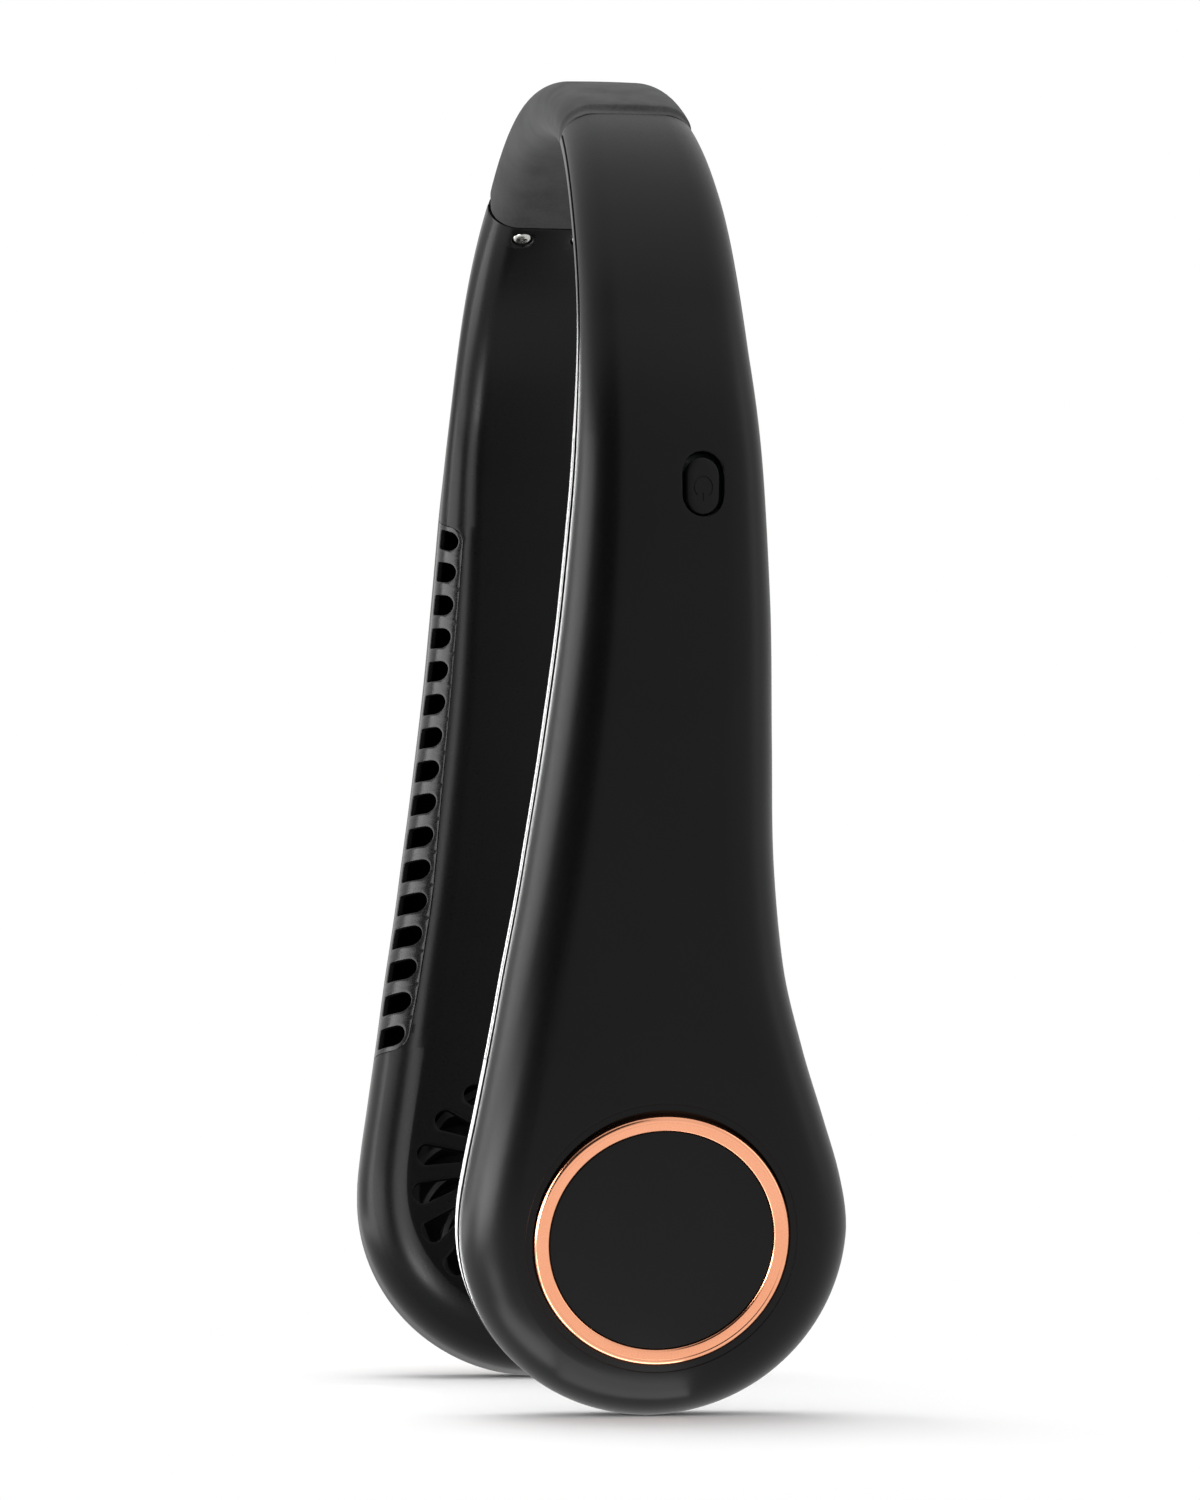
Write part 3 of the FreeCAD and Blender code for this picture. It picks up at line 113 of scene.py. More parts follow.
def add_grid(name: str, columns: int, rows: int, place: Place, holes: Sequence[Block] = ()) -> Piece:
    """Add a grid, leave out its holes and move each of its corners to its place.

    Args:
        name: Name of the new piece.
        columns: Number of faces along the grid.
        rows: Number of faces across the grid.
        place: Gives the place in millimetres of a corner by its column and row.
        holes: First and last column, first and last row of each block of faces to leave out.

    Returns:
        The new piece, at the origin, with its place in its mesh.
    """
    deselect()
    bpy.ops.mesh.primitive_grid_add(x_subdivisions=columns, y_subdivisions=rows, size=2)
    piece = bpy.context.object
    piece.name = name

    def cell(spot: Vector) -> tuple[float, float]:
        return (spot.x + 1) / 2 * columns, (spot.y + 1) / 2 * rows

    if holes:
        bpy.ops.object.mode_set(mode="EDIT")
        bpy.ops.mesh.select_mode(type="FACE")
        bpy.ops.mesh.select_all(action="DESELECT")
        bpy.ops.object.mode_set(mode="OBJECT")
        for face in piece.data.polygons:
            column, row = cell(face.center)
            face.select = any(first < column < last and low < row < high for first, last, low, high in holes)
        bpy.ops.object.mode_set(mode="EDIT")
        bpy.ops.mesh.delete(type="FACE")
        bpy.ops.object.mode_set(mode="OBJECT")
    for vertex in piece.data.vertices:
        column, row = cell(vertex.co)
        vertex.co = place(round(column), round(row)) * MM
    return piece


def copied(piece: Piece, name: str, move: Matrix) -> Piece:
    """Copy a piece with a mesh of its own and move that mesh.

    Args:
        piece: The piece to copy.
        name: Name of the copy.
        move: Matrix, in metres, that the copy's mesh is moved by.

    Returns:
        The copy.
    """
    twin = piece.copy()
    twin.data = piece.data.copy()
    twin.name = name
    bpy.context.scene.collection.objects.link(twin)
    twin.data.transform(move)
    return twin


def joined(patches: Sequence[Piece], name: str) -> Piece:
    """Join patches into one mesh, merge the corners that they share and align the faces.

    Args:
        patches: The pieces to join.
        name: Name of the result.

    Returns:
        The joined piece.
    """
    activate(patches[0])
    for patch in patches[1:]:
        patch.select_set(True)
    if len(patches) > 1:
        bpy.ops.object.join()
    piece = bpy.context.object
    piece.name = name
    merge = MERGE_MM * MM
    edit_faces(
        piece,
        lambda: bpy.ops.mesh.remove_doubles(threshold=merge),
        lambda: bpy.ops.mesh.dissolve_degenerate(threshold=merge / 2),
        align_faces,
    )
    return piece


def face_outwards(piece: Piece, direction: Vector) -> None:
    """Turn all faces round if the one furthest in a direction looks the other way.

    Args:
        piece: The piece whose faces already agree with one another.
        direction: A direction in which the outside of the piece is known.
    """
    furthest = max(piece.data.polygons, key=lambda face: face.center.dot(direction))
    if furthest.normal.dot(direction) < 0:
        edit_faces(piece, bpy.ops.mesh.flip_normals)


def cap_ends(piece: Piece) -> None:
    """Close the open ends of a tube."""
    edit_faces(piece, lambda: bpy.ops.mesh.fill_holes(sides=0), align_faces)


def finish_with(piece: Piece, kind: str, **settings: object) -> None:
    """Add a modifier to a piece, set it and apply it.

    Args:
        piece: The piece to change.
        kind: Blender's name for the modifier.
        settings: Values of the modifier's properties.
    """
    activate(piece)
    modifier = piece.modifiers.new(kind.title(), kind)
    for key, value in settings.items():
        setattr(modifier, key, value)
    bpy.ops.object.modifier_apply(modifier=modifier.name)


def cut_by(piece: Piece, cutter: Piece) -> None:
    """Cut one piece with another and remove the cutter.

    Args:
        piece: The piece that is cut.
        cutter: The closed shape that is taken away.
    """
    finish_with(piece, "BOOLEAN", operation="DIFFERENCE", solver="EXACT", object=cutter)
    bpy.data.objects.remove(cutter)


def smooth(piece: Piece, degrees: float = 40.0) -> None:
    """Shade a piece smooth, with crisp edges where faces meet at more than an angle."""
    activate(piece)
    bpy.ops.object.shade_smooth_by_angle(angle=math.radians(degrees))
    finish_with(piece, "WEIGHTED_NORMAL", keep_sharp=True)


def thicken(piece: Piece, wall: float, rim: float) -> None:
    """Give a moulded skin its wall and soften its rims.

    Args:
        piece: The skin, with its faces outwards.
        wall: Wall thickness in millimetres.
        rim: Width of the softened rims in millimetres.
    """
    # The inner face and rims of the wall take the second finish, which paints the shade in openings and
    # seams.
    walls = {"material_offset": 1, "material_offset_rim": 1}
    finish_with(piece, "SOLIDIFY", thickness=wall * MM, offset=-1.0, use_even_offset=True, **walls)
    soften(piece, rim)


def soften(piece: Piece, rim: float, segments: int = 2, degrees: float = 55.0) -> None:
    """Round the sharp edges of a piece.

    Args:
        piece: The piece to round.
        rim: Width of the rounding in millimetres.
        segments: Faces across the rounding.
        degrees: Only edges sharper than this are rounded.
    """
    finish_with(
        piece,
        "BEVEL",
        width=rim * MM,
        segments=segments,
        limit_method="ANGLE",
        angle_limit=math.radians(degrees),
        use_clamp_overlap=False,
        material=0,
    )


def mix(first: float, last: float, share: float) -> float:
    """Give the value that lies a share of the way between two."""
    return first + (last - first) * share


class ShareCurve:
    """A smooth curve through shares at the arm's stations, without overshoot."""

    def __init__(self, stations: Sequence[float], shares: Sequence[float]) -> None:
        """Work out the slope at each station.

        Args:
            stations: Places as shares of the arm's length.
            shares: The value at each station.
        """
        self.stations = stations
        self.shares = shares
        steps = [
            (shares[i + 1] - shares[i]) / (stations[i + 1] - stations[i])
            for i in range(len(stations) - 1)
        ]
        self.slopes = [steps[0]]
        for before, after in zip(steps, steps[1:]):
            level = before * after <= 0
            self.slopes.append(0.0 if level else 2 * before * after / (before + after))
        self.slopes.append(0.0)

    def at(self, place: float) -> float:
        """Give the value at a place from 0 to 1."""
        place = min(max(place, 0.0), 1.0)
        index = 0
        while index < len(self.stations) - 2 and place > self.stations[index + 1]:
            index += 1
        step = self.stations[index + 1] - self.stations[index]
        t = (place - self.stations[index]) / step
        start = self.shares[index] * (1 + 2 * t) * (1 - t) ** 2
        end = self.shares[index + 1] * t * t * (3 - 2 * t)
        lean = self.slopes[index] * t * (1 - t) ** 2 - self.slopes[index + 1] * t * t * (1 - t)
        return start + end + lean * step


STATION_SHARES = (0.0, 0.12, 0.24, 0.36, 0.48, 0.6, 0.7, 0.78, 0.85, 0.91, 0.955, 0.985, 1.0)
WIDTH_CURVE = ShareCurve(
    STATION_SHARES, (0.0, 0.059, 0.107, 0.184, 0.267, 0.352, 0.44, 0.549, 0.69, 0.835, 0.942, 0.991, 1.0)
)
THICKNESS_CURVE = ShareCurve(
    STATION_SHARES, (0.0, 0.02, 0.13, 0.66, 0.9, 0.99, 1.0, 1.0, 1.0, 1.0, 1.0, 1.0, 1.0)
)
ROUND_CURVE = ShareCurve(
    STATION_SHARES, (0.0, 0.03, 0.17, 0.48, 0.74, 0.91, 1.0, 1.0, 1.0, 1.0, 1.0, 1.0, 1.0)
)
SHIFT_CURVE = ShareCurve(
    STATION_SHARES, (0.0, 0.0, 0.0, 0.0, 0.13, 0.53, 0.89, 1.0, 0.74, 0.38, 0.13, 0.03, 0.0)
)
# How much wider than high the edge rounding is, as a share of the strap's, down the arm.
OVAL_CURVE = ShareCurve((0.0, 0.12, 0.24, 0.36, 0.5, 1.0), (1.0, 0.8, 0.4, 0.1, 0.0, 0.0))

# Crown of the outer face, as a share down the arm; the pod's face is flat.
CROWN_CURVE = ShareCurve((0.0, 0.45, 0.62, 0.78, 1.0), (1.0, 1.0, 0.6, 0.0, 0.0))


@dataclass
class ArmForm:
    """Outer form of the left arm: centre line of tangent arcs and sections along it, in mm."""

    pod_reach: float = 61.0
    pod_radius: float = 29.0
    pod_face: float = 9.5
    pod_edge_round: float = 8.0
    pod_tilt: float = 15.1
    arm_bow: float = 14.1
    corner_bend: float = 65.0
    crown_turn: float = 22.3
    join_turn: float = 26.6
    strap_half_width: float = 10.25
    strap_half_thickness: float = 4.1
    strap_edge_round: float = 3.7
    waist_shift: float = 2.65
    parting: float = 0.7
    proud: float = 0.15
    proud_turn: float = 45.0
    oval: float = 0.4
    crown_rise: float = 0.35

    def __post_init__(self) -> None:
        """Work out the centres and ends of the arcs."""
        tilt = math.radians(self.pod_tilt)
        flat = self.pod_radius - self.pod_edge_round
        side = self.pod_face - self.pod_edge_round
        pod_height = flat * math.cos(tilt) + side * math.sin(tilt) + self.pod_edge_round
        self.lower_bend = self.arm_bow / (1 - math.cos(tilt))
        self.crown = math.radians(self.crown_turn)
        self.join = math.radians(self.join_turn)
        reach = self.pod_reach + self.arm_bow
        height = pod_height + self.lower_bend * math.sin(tilt)
        spread = (reach - self.corner_bend) / math.sin(self.crown)
        self.crown_bend = self.corner_bend + spread
        self.lower_centre = Vector((reach - self.lower_bend, 0, height))
        self.corner_centre = Vector((reach - self.corner_bend, 0, height))
        self.crown_centre = Vector((0, 0, height - spread * math.cos(self.crown)))
        self.corner_end = self.corner_bend * (math.pi / 2 - self.join)
        self.crown_end = self.corner_bend * (self.crown - self.join)
        self.top = self.crown_end - self.crown_bend * self.crown
        self.length = self.corner_end + self.lower_bend * tilt

    def frame(self, along: float) -> tuple[Vector, Vector, Vector]:
        """Give the centre line's point, outward normal and downward tangent at a place."""
        if along > self.length:
            point, normal, tangent = self.frame(self.length)
            return point + tangent * (along - self.length), normal, tangent
        if along < self.crown_end:
            centre, bend = self.crown_centre, self.crown_bend
            turn = self.crown + (along - self.crown_end) / bend
        elif along <= self.corner_end:
            centre, bend = self.corner_centre, self.corner_bend
            turn = self.join + along / bend
        else:
            centre, bend = self.lower_centre, self.lower_bend
            turn = math.pi / 2 + (along - self.corner_end) / bend
        normal = Vector((math.sin(turn), 0, math.cos(turn)))
        tangent = Vector((math.cos(turn), 0, -math.sin(turn)))
        return centre + normal * bend, normal, tangent

    def point(self, along: float, across: float, out: float) -> Vector:
        """Give the point at a place, moved across the arm and outwards."""
        centre, normal, _ = self.frame(along)
        return centre + normal * out + Vector((0, across, 0))

    def section(self, along: float) -> tuple[float, float, float, float]:
        """Give half width, half thickness, edge rounding and lean across at a place."""
        place = along / self.length
        wide = mix(self.strap_half_width, self.pod_radius, WIDTH_CURVE.at(place))
        thick = mix(self.strap_half_thickness, self.pod_face, THICKNESS_CURVE.at(place))
        edge = mix(self.strap_edge_round, self.pod_edge_round, ROUND_CURVE.at(place))
        return wide, thick, edge, -self.waist_shift * SHIFT_CURVE.at(place)

    def reach(self, along: float) -> float:
        """Give how far the edge rounding reaches across the arm."""
        place = min(along, self.length)
        return self.section(place)[2] * (1 + self.oval * OVAL_CURVE.at(place / self.length))

    def depth(self, along: float, across: float) -> float:
        """Give how far a point of the plan lies inside the arm's outline."""
        if along > self.length:
            return self.pod_radius - math.hypot(along - self.length, across)
        wide, _, _, lean = self.section(along)
        return wide - abs(across - lean)

    def lift(self, along: float, across: float) -> float:
        """Give the height of the outer face over the centre line at a point of the plan."""
        _, thick, edge, _ = self.section(min(along, self.length))
        short = max(1 - max(self.depth(along, across), 0.0) / self.reach(along), 0.0)
        return thick - edge + edge * math.sqrt(1 - short * short)

    def face_crown(self, along: float, across: float) -> float:
        """Give how far the outer face's gentle crown stands over its edge, on the narrow part of the arm."""
        wide, _, _, lean = self.section(min(along, self.length))
        share = min(abs(across - lean) / wide, 1.0)
        return self.crown_rise * CROWN_CURVE.at(along / self.length) * (1 - share * share)

    def girth(self, along: float, run: float) -> tuple[float, float]:
        """Walk round the arm's edge from the parting line to the inner face.

        Args:
            along: Place down the arm.
            run: Distance walked round the section.

        Returns:
            How far inside the outline the walk has come, and the height over the centre line.
        """
        _, thick, edge, _ = self.section(min(along, self.length))
        level, reach = thick - edge, self.reach(along)
        if self.parting > level:
            start = math.asin((self.parting - level) / edge)
            if run < edge * start:
                turn = start - run / edge
                return reach * (1 - math.cos(turn)) - self.proud, level + edge * math.sin(turn)
            run -= edge * start
        top = min(self.parting, level)
        if run < top + level:
            return -self.proud, top - run
        turn = (run - top - level) / edge
        if turn < math.pi / 2:
            fade = max(1 - turn / math.radians(self.proud_turn), 0.0)
            inside = reach * (1 - math.cos(turn)) - self.proud * fade * fade
            return inside, -level - edge * math.sin(turn)
        return reach + (turn - math.pi / 2) * edge, -thick

    def girth_to(self, along: float, inside: float) -> float:
        """Give the walk from the parting line to a distance inside the inner face's outline."""
        _, thick, edge, _ = self.section(min(along, self.length))
        level = thick - edge
        start = math.asin(max(self.parting - level, 0.0) / edge)
        wall = min(self.parting, level) + level
        return edge * start + wall + edge * math.acos(max(1 - inside / self.reach(along), 0.0))

    def girth_down(self, along: float, drop: float) -> float:
        """Give the walk from the parting line to a depth below the middle of the edge."""
        _, thick, edge, _ = self.section(min(along, self.length))
        level = thick - edge
        start = edge * math.asin(max(self.parting - level, 0.0) / edge)
        top = min(self.parting, level)
        if drop <= level:
            return start + top + drop
        return start + top + level + edge * math.asin(min((drop - level) / edge, 1.0))


FORM = ArmForm()
# Width of the slotted strip and lean of its upper slots, as shares down their runs.
STRIP_CURVE = ShareCurve((0.0, 0.23, 0.49, 0.74, 0.86, 1.0), (0.0, 0.07, 0.45, 1.0, 0.98, 0.65))
SLANT_CURVE = ShareCurve((0.0, 0.28, 0.352, 0.37, 0.52, 1.0), (0.0, 0.0, 1.0, 1.0, 0.0, 0.0))


@dataclass
class ArmPlan:
    """How the arm's skin is divided: places of the columns and share of the edge band."""

    strip_start: float = 63.35
    strip_end: float = 154.9
    strip_corner: float = 2.6
    strip_narrow: float = 3.4
    strip_swell: float = 1.55
    strip_shy: float = 0.9
    slant: float = 0.13
    slant_middle: float = 4.7
    band_share: float = 0.87
    pod_columns: int = 144
    cell_ring: float = 21.4
    well_end: float = 7.5
    slots_end: float = 150.3
    well_columns: int = 10
    bend_columns: int = 36
    corner_columns: int = 5
    slot_columns: int = 58
    tail_columns: int = 4
    pod_run_columns: int = 15

    def __post_init__(self) -> None:
        """List the places of the columns from the sleeve joint to the pod's middle."""
        corner, steps = self.strip_corner, self.corner_columns
        rounding = [corner * (1 - math.cos(math.pi / 2 * step / steps)) for step in range(steps + 1)]
        self.places = [0.0]
        self.run_to(self.well_end, self.well_columns)
        self.run_to(self.strip_start, self.bend_columns)
        self.strip_first = len(self.places) - 1
        self.places += [self.strip_start + step for step in rounding[1:]]
        self.slots_first = len(self.places) - 1
        self.run_to(self.slots_end, self.slot_columns)
        self.run_to(self.strip_end - corner, self.tail_columns)
        self.places += [self.strip_end - step for step in reversed(rounding[:-1])]
        self.strip_last = len(self.places) - 1
        self.run_to(FORM.length, self.pod_run_columns)
        self.last = len(self.places) - 1
        self.plate = self.last - self.pod_columns // 6

    def run_to(self, end: float, steps: int) -> None:
        """Add evenly spaced places, from the last one on to a further one."""
        start = self.places[-1]
        self.places += [start + (end - start) * step / steps for step in range(1, steps + 1)]

    def strip_width(self, along: float) -> float:
        """Give how far the strip reaches inside the outline, leaving its corners aside."""
        share = (along - self.strip_start) / (self.strip_end - self.strip_start)
        return self.strip_narrow + self.strip_swell * STRIP_CURVE.at(share)

    def strip_edge(self, along: float) -> float:
        """Give how far the strip's seam lies inside the outline, corners included."""
        short = self.strip_corner - min(
            max(along - self.strip_start, 0.0), max(self.strip_end - along, 0.0), self.strip_corner
        )
        drop = self.strip_corner - math.sqrt(max(self.strip_corner**2 - short * short, 0.0))
        return self.strip_width(along) - drop

    def slanted(self, along: float, run: float, share: float = 1.0) -> float:
        """Move a place down the arm, so that the strip's upper slots lean as they follow the bend.

        Args:
            along: Place down the arm.
            run: Walk round the section from the parting line.
            share: How much of the lean applies.

        Returns:
            The moved place.
        """
        return along + self.slant * SLANT_CURVE.at(along / FORM.length) * (run - self.slant_middle) * share

    def band_inside(self, along: float) -> float:
        """Give how far the edge band reaches inside the outline."""
        return FORM.section(min(along, FORM.length))[2] * self.band_share

    def inside(self, along: float, sign: int) -> float:
        """Give where the edge band ends on one side of the plan."""
        wide, _, _, lean = FORM.section(along)
        return lean + sign * (wide - self.band_inside(along))

    def column(self, index: int) -> tuple[float, int, float]:
        """Give a column of the edge band, which runs down one side, round the pod and up.

        Returns:
            The place down the arm, the side of the plan, and the turn round the pod's lower
            half in radians, which is negative on the straight runs.
        """
        half = self.pod_columns // 2
        if index <= self.last:
            return self.places[index], -1, -1.0
        if index < self.last + half:
            return FORM.length, 0, math.pi * (index - self.last) / half
        return self.places[2 * self.last + half - index], 1, -1.0

    @property
    def columns(self) -> int:
        """Number of columns of the edge band."""
        return 2 * self.last + self.pod_columns // 2

    def on_column(self, index: int, inside: float) -> tuple[float, float]:
        """Give the plan's point on a column, some way inside the outline."""
        along, sign, turn = self.column(index)
        if turn >= 0:
            radius = FORM.pod_radius - inside
            return FORM.length + radius * math.sin(turn), -radius * math.cos(turn)
        wide, _, _, lean = FORM.section(along)
        return along, lean + sign * (wide - inside)

    def plate_edge(self, index: int) -> tuple[float, float]:
        """Give a point of the line that bounds the pod's plate, by its column round the pod."""
        sixth = self.pod_columns // 6
        if index <= sixth:
            along = self.places[self.last - index]
            return along, self.inside(along, -1)
        if index <= 2 * sixth:
            along = self.places[self.plate]
            share = (index - sixth) / sixth
            return along, mix(self.inside(along, -1), self.inside(along, 1), share)
        if index <= 3 * sixth:
            along = self.places[self.last - 3 * sixth + index]
            return along, self.inside(along, 1)
        radius = FORM.pod_radius - self.band_inside(FORM.length)
        return self.polar(radius, 2 * math.pi * index / self.pod_columns)

    def polar(self, radius: float, turn: float) -> tuple[float, float]:
        """Give the plan's point on a circle round the pod's middle."""
        return FORM.length - radius * math.sin(turn), -radius * math.cos(turn)


PLAN = ArmPlan()


def pod_point(radius: float, turn: float, out: float) -> Vector:
    """Give a point in the pod's own flat frame, by radius, turn and height."""
    along, across = PLAN.polar(radius, turn)
    centre, normal, tangent = FORM.frame(FORM.length)
    return centre + tangent * (along - FORM.length) + normal * out + Vector((0, across, 0))


def sided(arm: Arm, point: Vector) -> Vector:
    """Mirror a point of the left arm for the right one."""
    return Vector((point.x * arm.value, point.y, point.z))


def ring_patch(name: str, edge: Loop, hole: Loop, rows: int, place: Skin) -> Piece:
    """Fill the space between an outline and a hole in it.

    Args:
        name: Name of the patch.
        edge: Outer outline in plan coordinates.
        hole: Outline of the hole, with as many points.
        rows: Rows of faces between them.
        place: Gives the place of a point of the plan.

    Returns:
        The patch.
    """
    count = len(edge)

    def spot(column: int, row: int) -> Vector:
        first, last = edge[column % count], hole[column % count]
        share = row / rows
        return place(mix(first[0], last[0], share), mix(first[1], last[1], share))

    return add_grid(name, count, rows, spot)


def outer_skin(arm: Arm) -> Skin:
    """Give the function that places a point of the plan on the outer face."""
    def place(along: float, across: float) -> Vector:
        height = FORM.lift(along, across) + FORM.face_crown(along, across)
        return sided(arm, FORM.point(along, across, height))

    return place


def inner_skin(arm: Arm) -> Skin:
    """Give the function that places a point of the plan on the inner face."""
    return lambda along, across: sided(arm, FORM.point(along, across, -FORM.lift(along, across)))


def stadium_loop(length: float, width: float, ends: int, sides: int) -> list[tuple[float, float]]:
    """Draw a round-ended outline about the origin, long in the first direction.

    Args:
        length: Overall length.
        width: Overall width.
        ends: Divisions of each round end.
        sides: Divisions of each straight side.

    Returns:
        The outline, starting at the first end's lower corner.
    """
    radius = width / 2
    reach = length / 2 - radius
    points = []
    for start, sign in ((-math.pi / 2, 1), (math.pi / 2, -1)):
        for step in range(ends):
            turn = start + math.pi * step / ends
            points.append((sign * reach + radius * math.cos(turn), radius * math.sin(turn)))
        for step in range(sides):
            share = step / sides
            points.append((sign * mix(reach, -reach, share), sign * radius))
    return points


@dataclass
class PowerButton:
    """Round-ended power button, a little sunk in its opening, with a power sign cut into it."""

    along: float = 70.6
    side: float = 3.9
    opening_length: float = 8.9
    opening_width: float = 6.2
    length: float = 7.9
    width: float = 5.1
    low: float = 0.3
    sunk: float = 0.3
    edge: float = 0.35
    foot: float = 2.2
    block_lead: int = 2
    block_row: int = 12
    block_size: int = 10

    def block(self) -> Block:
        """Give the columns and rows of the outer face's grid that the opening takes out."""
        first = PLAN.slots_first - self.block_lead
        return first, first + self.block_size, self.block_row, self.block_row + self.block_size


BUTTON = PowerButton()


# Radii of the flat floors inside the ring's recess, the screw wells and the grille's hub, as shares.
RECESS_SHARES = (0.6, 0.2, 0.0)
WELL_SHARES = (1.12, 1.0, 1.0, 0.5, 0.0)
HUB_SHARES = (1.0, 0.6, 0.25, 0.0)


@dataclass
class ArmShells:
    """Moulded shells of one arm: outer shell, inner shell and the slotted strip between them."""

    arm: Arm
    wall: float = 1.5
    strip_wall: float = 0.9
    seam: float = 0.32
    rim: float = 0.1
    joint_gap: float = 0.05
    band_rows: int = 11
    strip_rows: int = 14
    inner_rows: int = 3
    face_columns: int = 24
    plate_rows: int = 6
    cell_rows: int = 3
    step_radius: float = 20.25
    step_depth: float = 0.12
    step_lead: float = 0.75
    step_soft: float = 0.1
    step_turn: float = 0.3
    step_wall: float = 0.06
    ring_radius: float = 19.15
    recess_floor: float = 8.5
    bevel: float = 0.12
    petal_count: int = 18
    petal_outer: float = 21.15
    petal_inner: float = 12.9
    petal_wide: float = 3.8
    petal_narrow: float = 2.1
    petal_swirl: float = -5.8
    petal_turn: float = -8.4
    petal_root: float = 12.2
    petal_ends: int = 8
    petal_sides: int = 10
    slot_count: int = 16
    slot_first: float = 66.0
    slot_pitch: float = 5.75
    slot_height: float = 3.5
    slot_drop: float = 2.6
    slot_margin: float = 0.85
    slot_bend: float = 2.0
    slot_corner: float = 0.7
    slot_steps: int = 12
    slot_turn_steps: int = 4
    strip_end_columns: int = 4
    strip_gap: float = 0.07
    screw_along: float = 3.6
    screw_spread: float = 9.8
    screw_shift: float = 0.4
    well_radius: float = 1.75
    well_depth: float = 1.0
    well_columns: tuple[int, int] = (2, 8)
    well_rows: int = 8
    grille_rim: float = 0.1
    mouth_length: float = 9.2
    mouth_width: float = 3.5
    mouth_chamfer: float = 0.6
    mouth_ends: int = 16
    mouth_sides: int = 6

    def ends(self, along: float) -> float:
        """Hold the shells' upper ends a hair below the sleeve joint."""
        return max(along, self.joint_gap)

    def outer_band(self) -> Piece:
        """Shape the outer shell's rounded edge, from the parting line to its face."""
        def spot(column: int, row: int) -> Vector:
            along = PLAN.column(column)[0]
            _, thick, edge, _ = FORM.section(along)
            rise = FORM.parting + self.seam - thick + edge
            start = math.asin(min(max(rise / edge, -1.0), 1.0))
            end = math.acos(1 - PLAN.band_inside(along) / FORM.reach(along))
            turn = mix(start, end, row / self.band_rows)
            place, across = PLAN.on_column(column, FORM.reach(along) * (1 - math.cos(turn)))
            height = thick - edge + edge * math.sin(turn) + FORM.face_crown(place, across)
            return sided(self.arm, FORM.point(self.ends(place), across, height))

        return add_grid("outer_band", PLAN.columns, self.band_rows, spot)

    def across(self, column: int, row: int) -> float:
        """Give where a row of the long face's grid lies across the arm, at a column."""
        along = PLAN.places[column]
        return mix(PLAN.inside(along, -1), PLAN.inside(along, 1), row / self.face_columns)

    def face_grid(self, skin: Skin, holes: Sequence[Block]) -> Piece:
        """Shape the long face between the edge bands, from the sleeve joint to the pod's plate."""
        def spot(column: int, row: int) -> Vector:
            return skin(self.ends(PLAN.places[column]), self.across(column, row))

        return add_grid("face", PLAN.plate, self.face_columns, spot, holes)

    def block_edge(self, hole: Block) -> Loop:
        """Give the outline of a block of the long face's grid.

        Args:
            hole: First and last column and first and last row of the block.

        Returns:
            The outline in plan coordinates, turning from the last column's first row along the rows.
        """
        first, last, low, high = hole
        corners = [(last, row) for row in range(low, high)]
        corners += [(column, high) for column in range(last, first, -1)]
        corners += [(first, row) for row in range(high, low, -1)]
        corners += [(column, low) for column in range(first, last)]
        return [(PLAN.places[column], self.across(column, row)) for column, row in corners]

    def plate(self, skin: Skin, offset: float, rows: Sequence[tuple[float, float | None]]) -> Piece:
        """Shape the pod's plate, from the edge band and the long face inwards.

        Args:
            skin: Places points of the plan on the face.
            offset: Turn of the inner circles against the columns, in radians.
            rows: Radius of each further circle, with its height in the pod's frame, or None
                where it lies on the face.

        Returns:
            The plate.
        """
        total = PLAN.pod_columns

        def spot(column: int, row: int) -> Vector:
            index = column % total
            turn = 2 * math.pi * index / total + offset
            if row <= self.plate_rows:
                first = PLAN.plate_edge(index)
                last = PLAN.polar(PLAN.cell_ring, turn)
                share = row / self.plate_rows
                return skin(mix(first[0], last[0], share), mix(first[1], last[1], share))
            radius, height = rows[row - self.plate_rows - 1]
            if height is None:
                return skin(*PLAN.polar(radius, turn))
            if height < 0:
                along, across = PLAN.polar(radius, turn)
                out = FORM.lift(along, across) + height
                return sided(self.arm, FORM.point(along, across, out))
            return sided(self.arm, pod_point(radius, turn, height))

        return add_grid("plate", total, self.plate_rows + len(rows), spot)

    def outer_shell(self) -> Piece:
        """Build the outer shell, with the ring's recess and, on the left, the button's opening."""
        skin = outer_skin(self.arm)
        step, deep, bevel = self.step_radius, self.step_depth, self.bevel
        ring, floor = self.ring_radius, self.recess_floor
        rows = [
            (step + self.step_lead, None),
            (step + self.step_soft, None),
            (step, -deep * self.step_turn),
            (step - self.step_wall, -deep),
            (ring + bevel, -deep),
            (ring, -deep - bevel),
            (ring, floor + bevel),
            (ring - bevel, floor),
        ]
        rows += [(ring * share, floor) for share in RECESS_SHARES]
        with_button = self.arm is Arm.LEFT
        face = self.face_grid(skin, [BUTTON.block()] if with_button else [])
        patches = [self.outer_band(), face, self.plate(skin, 0.0, rows)]
        if with_button:
            size = BUTTON.block_size
            hole = stadium_loop(BUTTON.opening_length, BUTTON.opening_width, size, size)
            hole = [(BUTTON.along + x, BUTTON.side + y) for x, y in hole]
            edge = self.block_edge(BUTTON.block())
            patches.append(ring_patch("button_edge", edge, hole, self.cell_rows, skin))
        return self.moulded(patches, "outer", Vector((self.arm.value, 0, 0)), SHELL, self.rim)

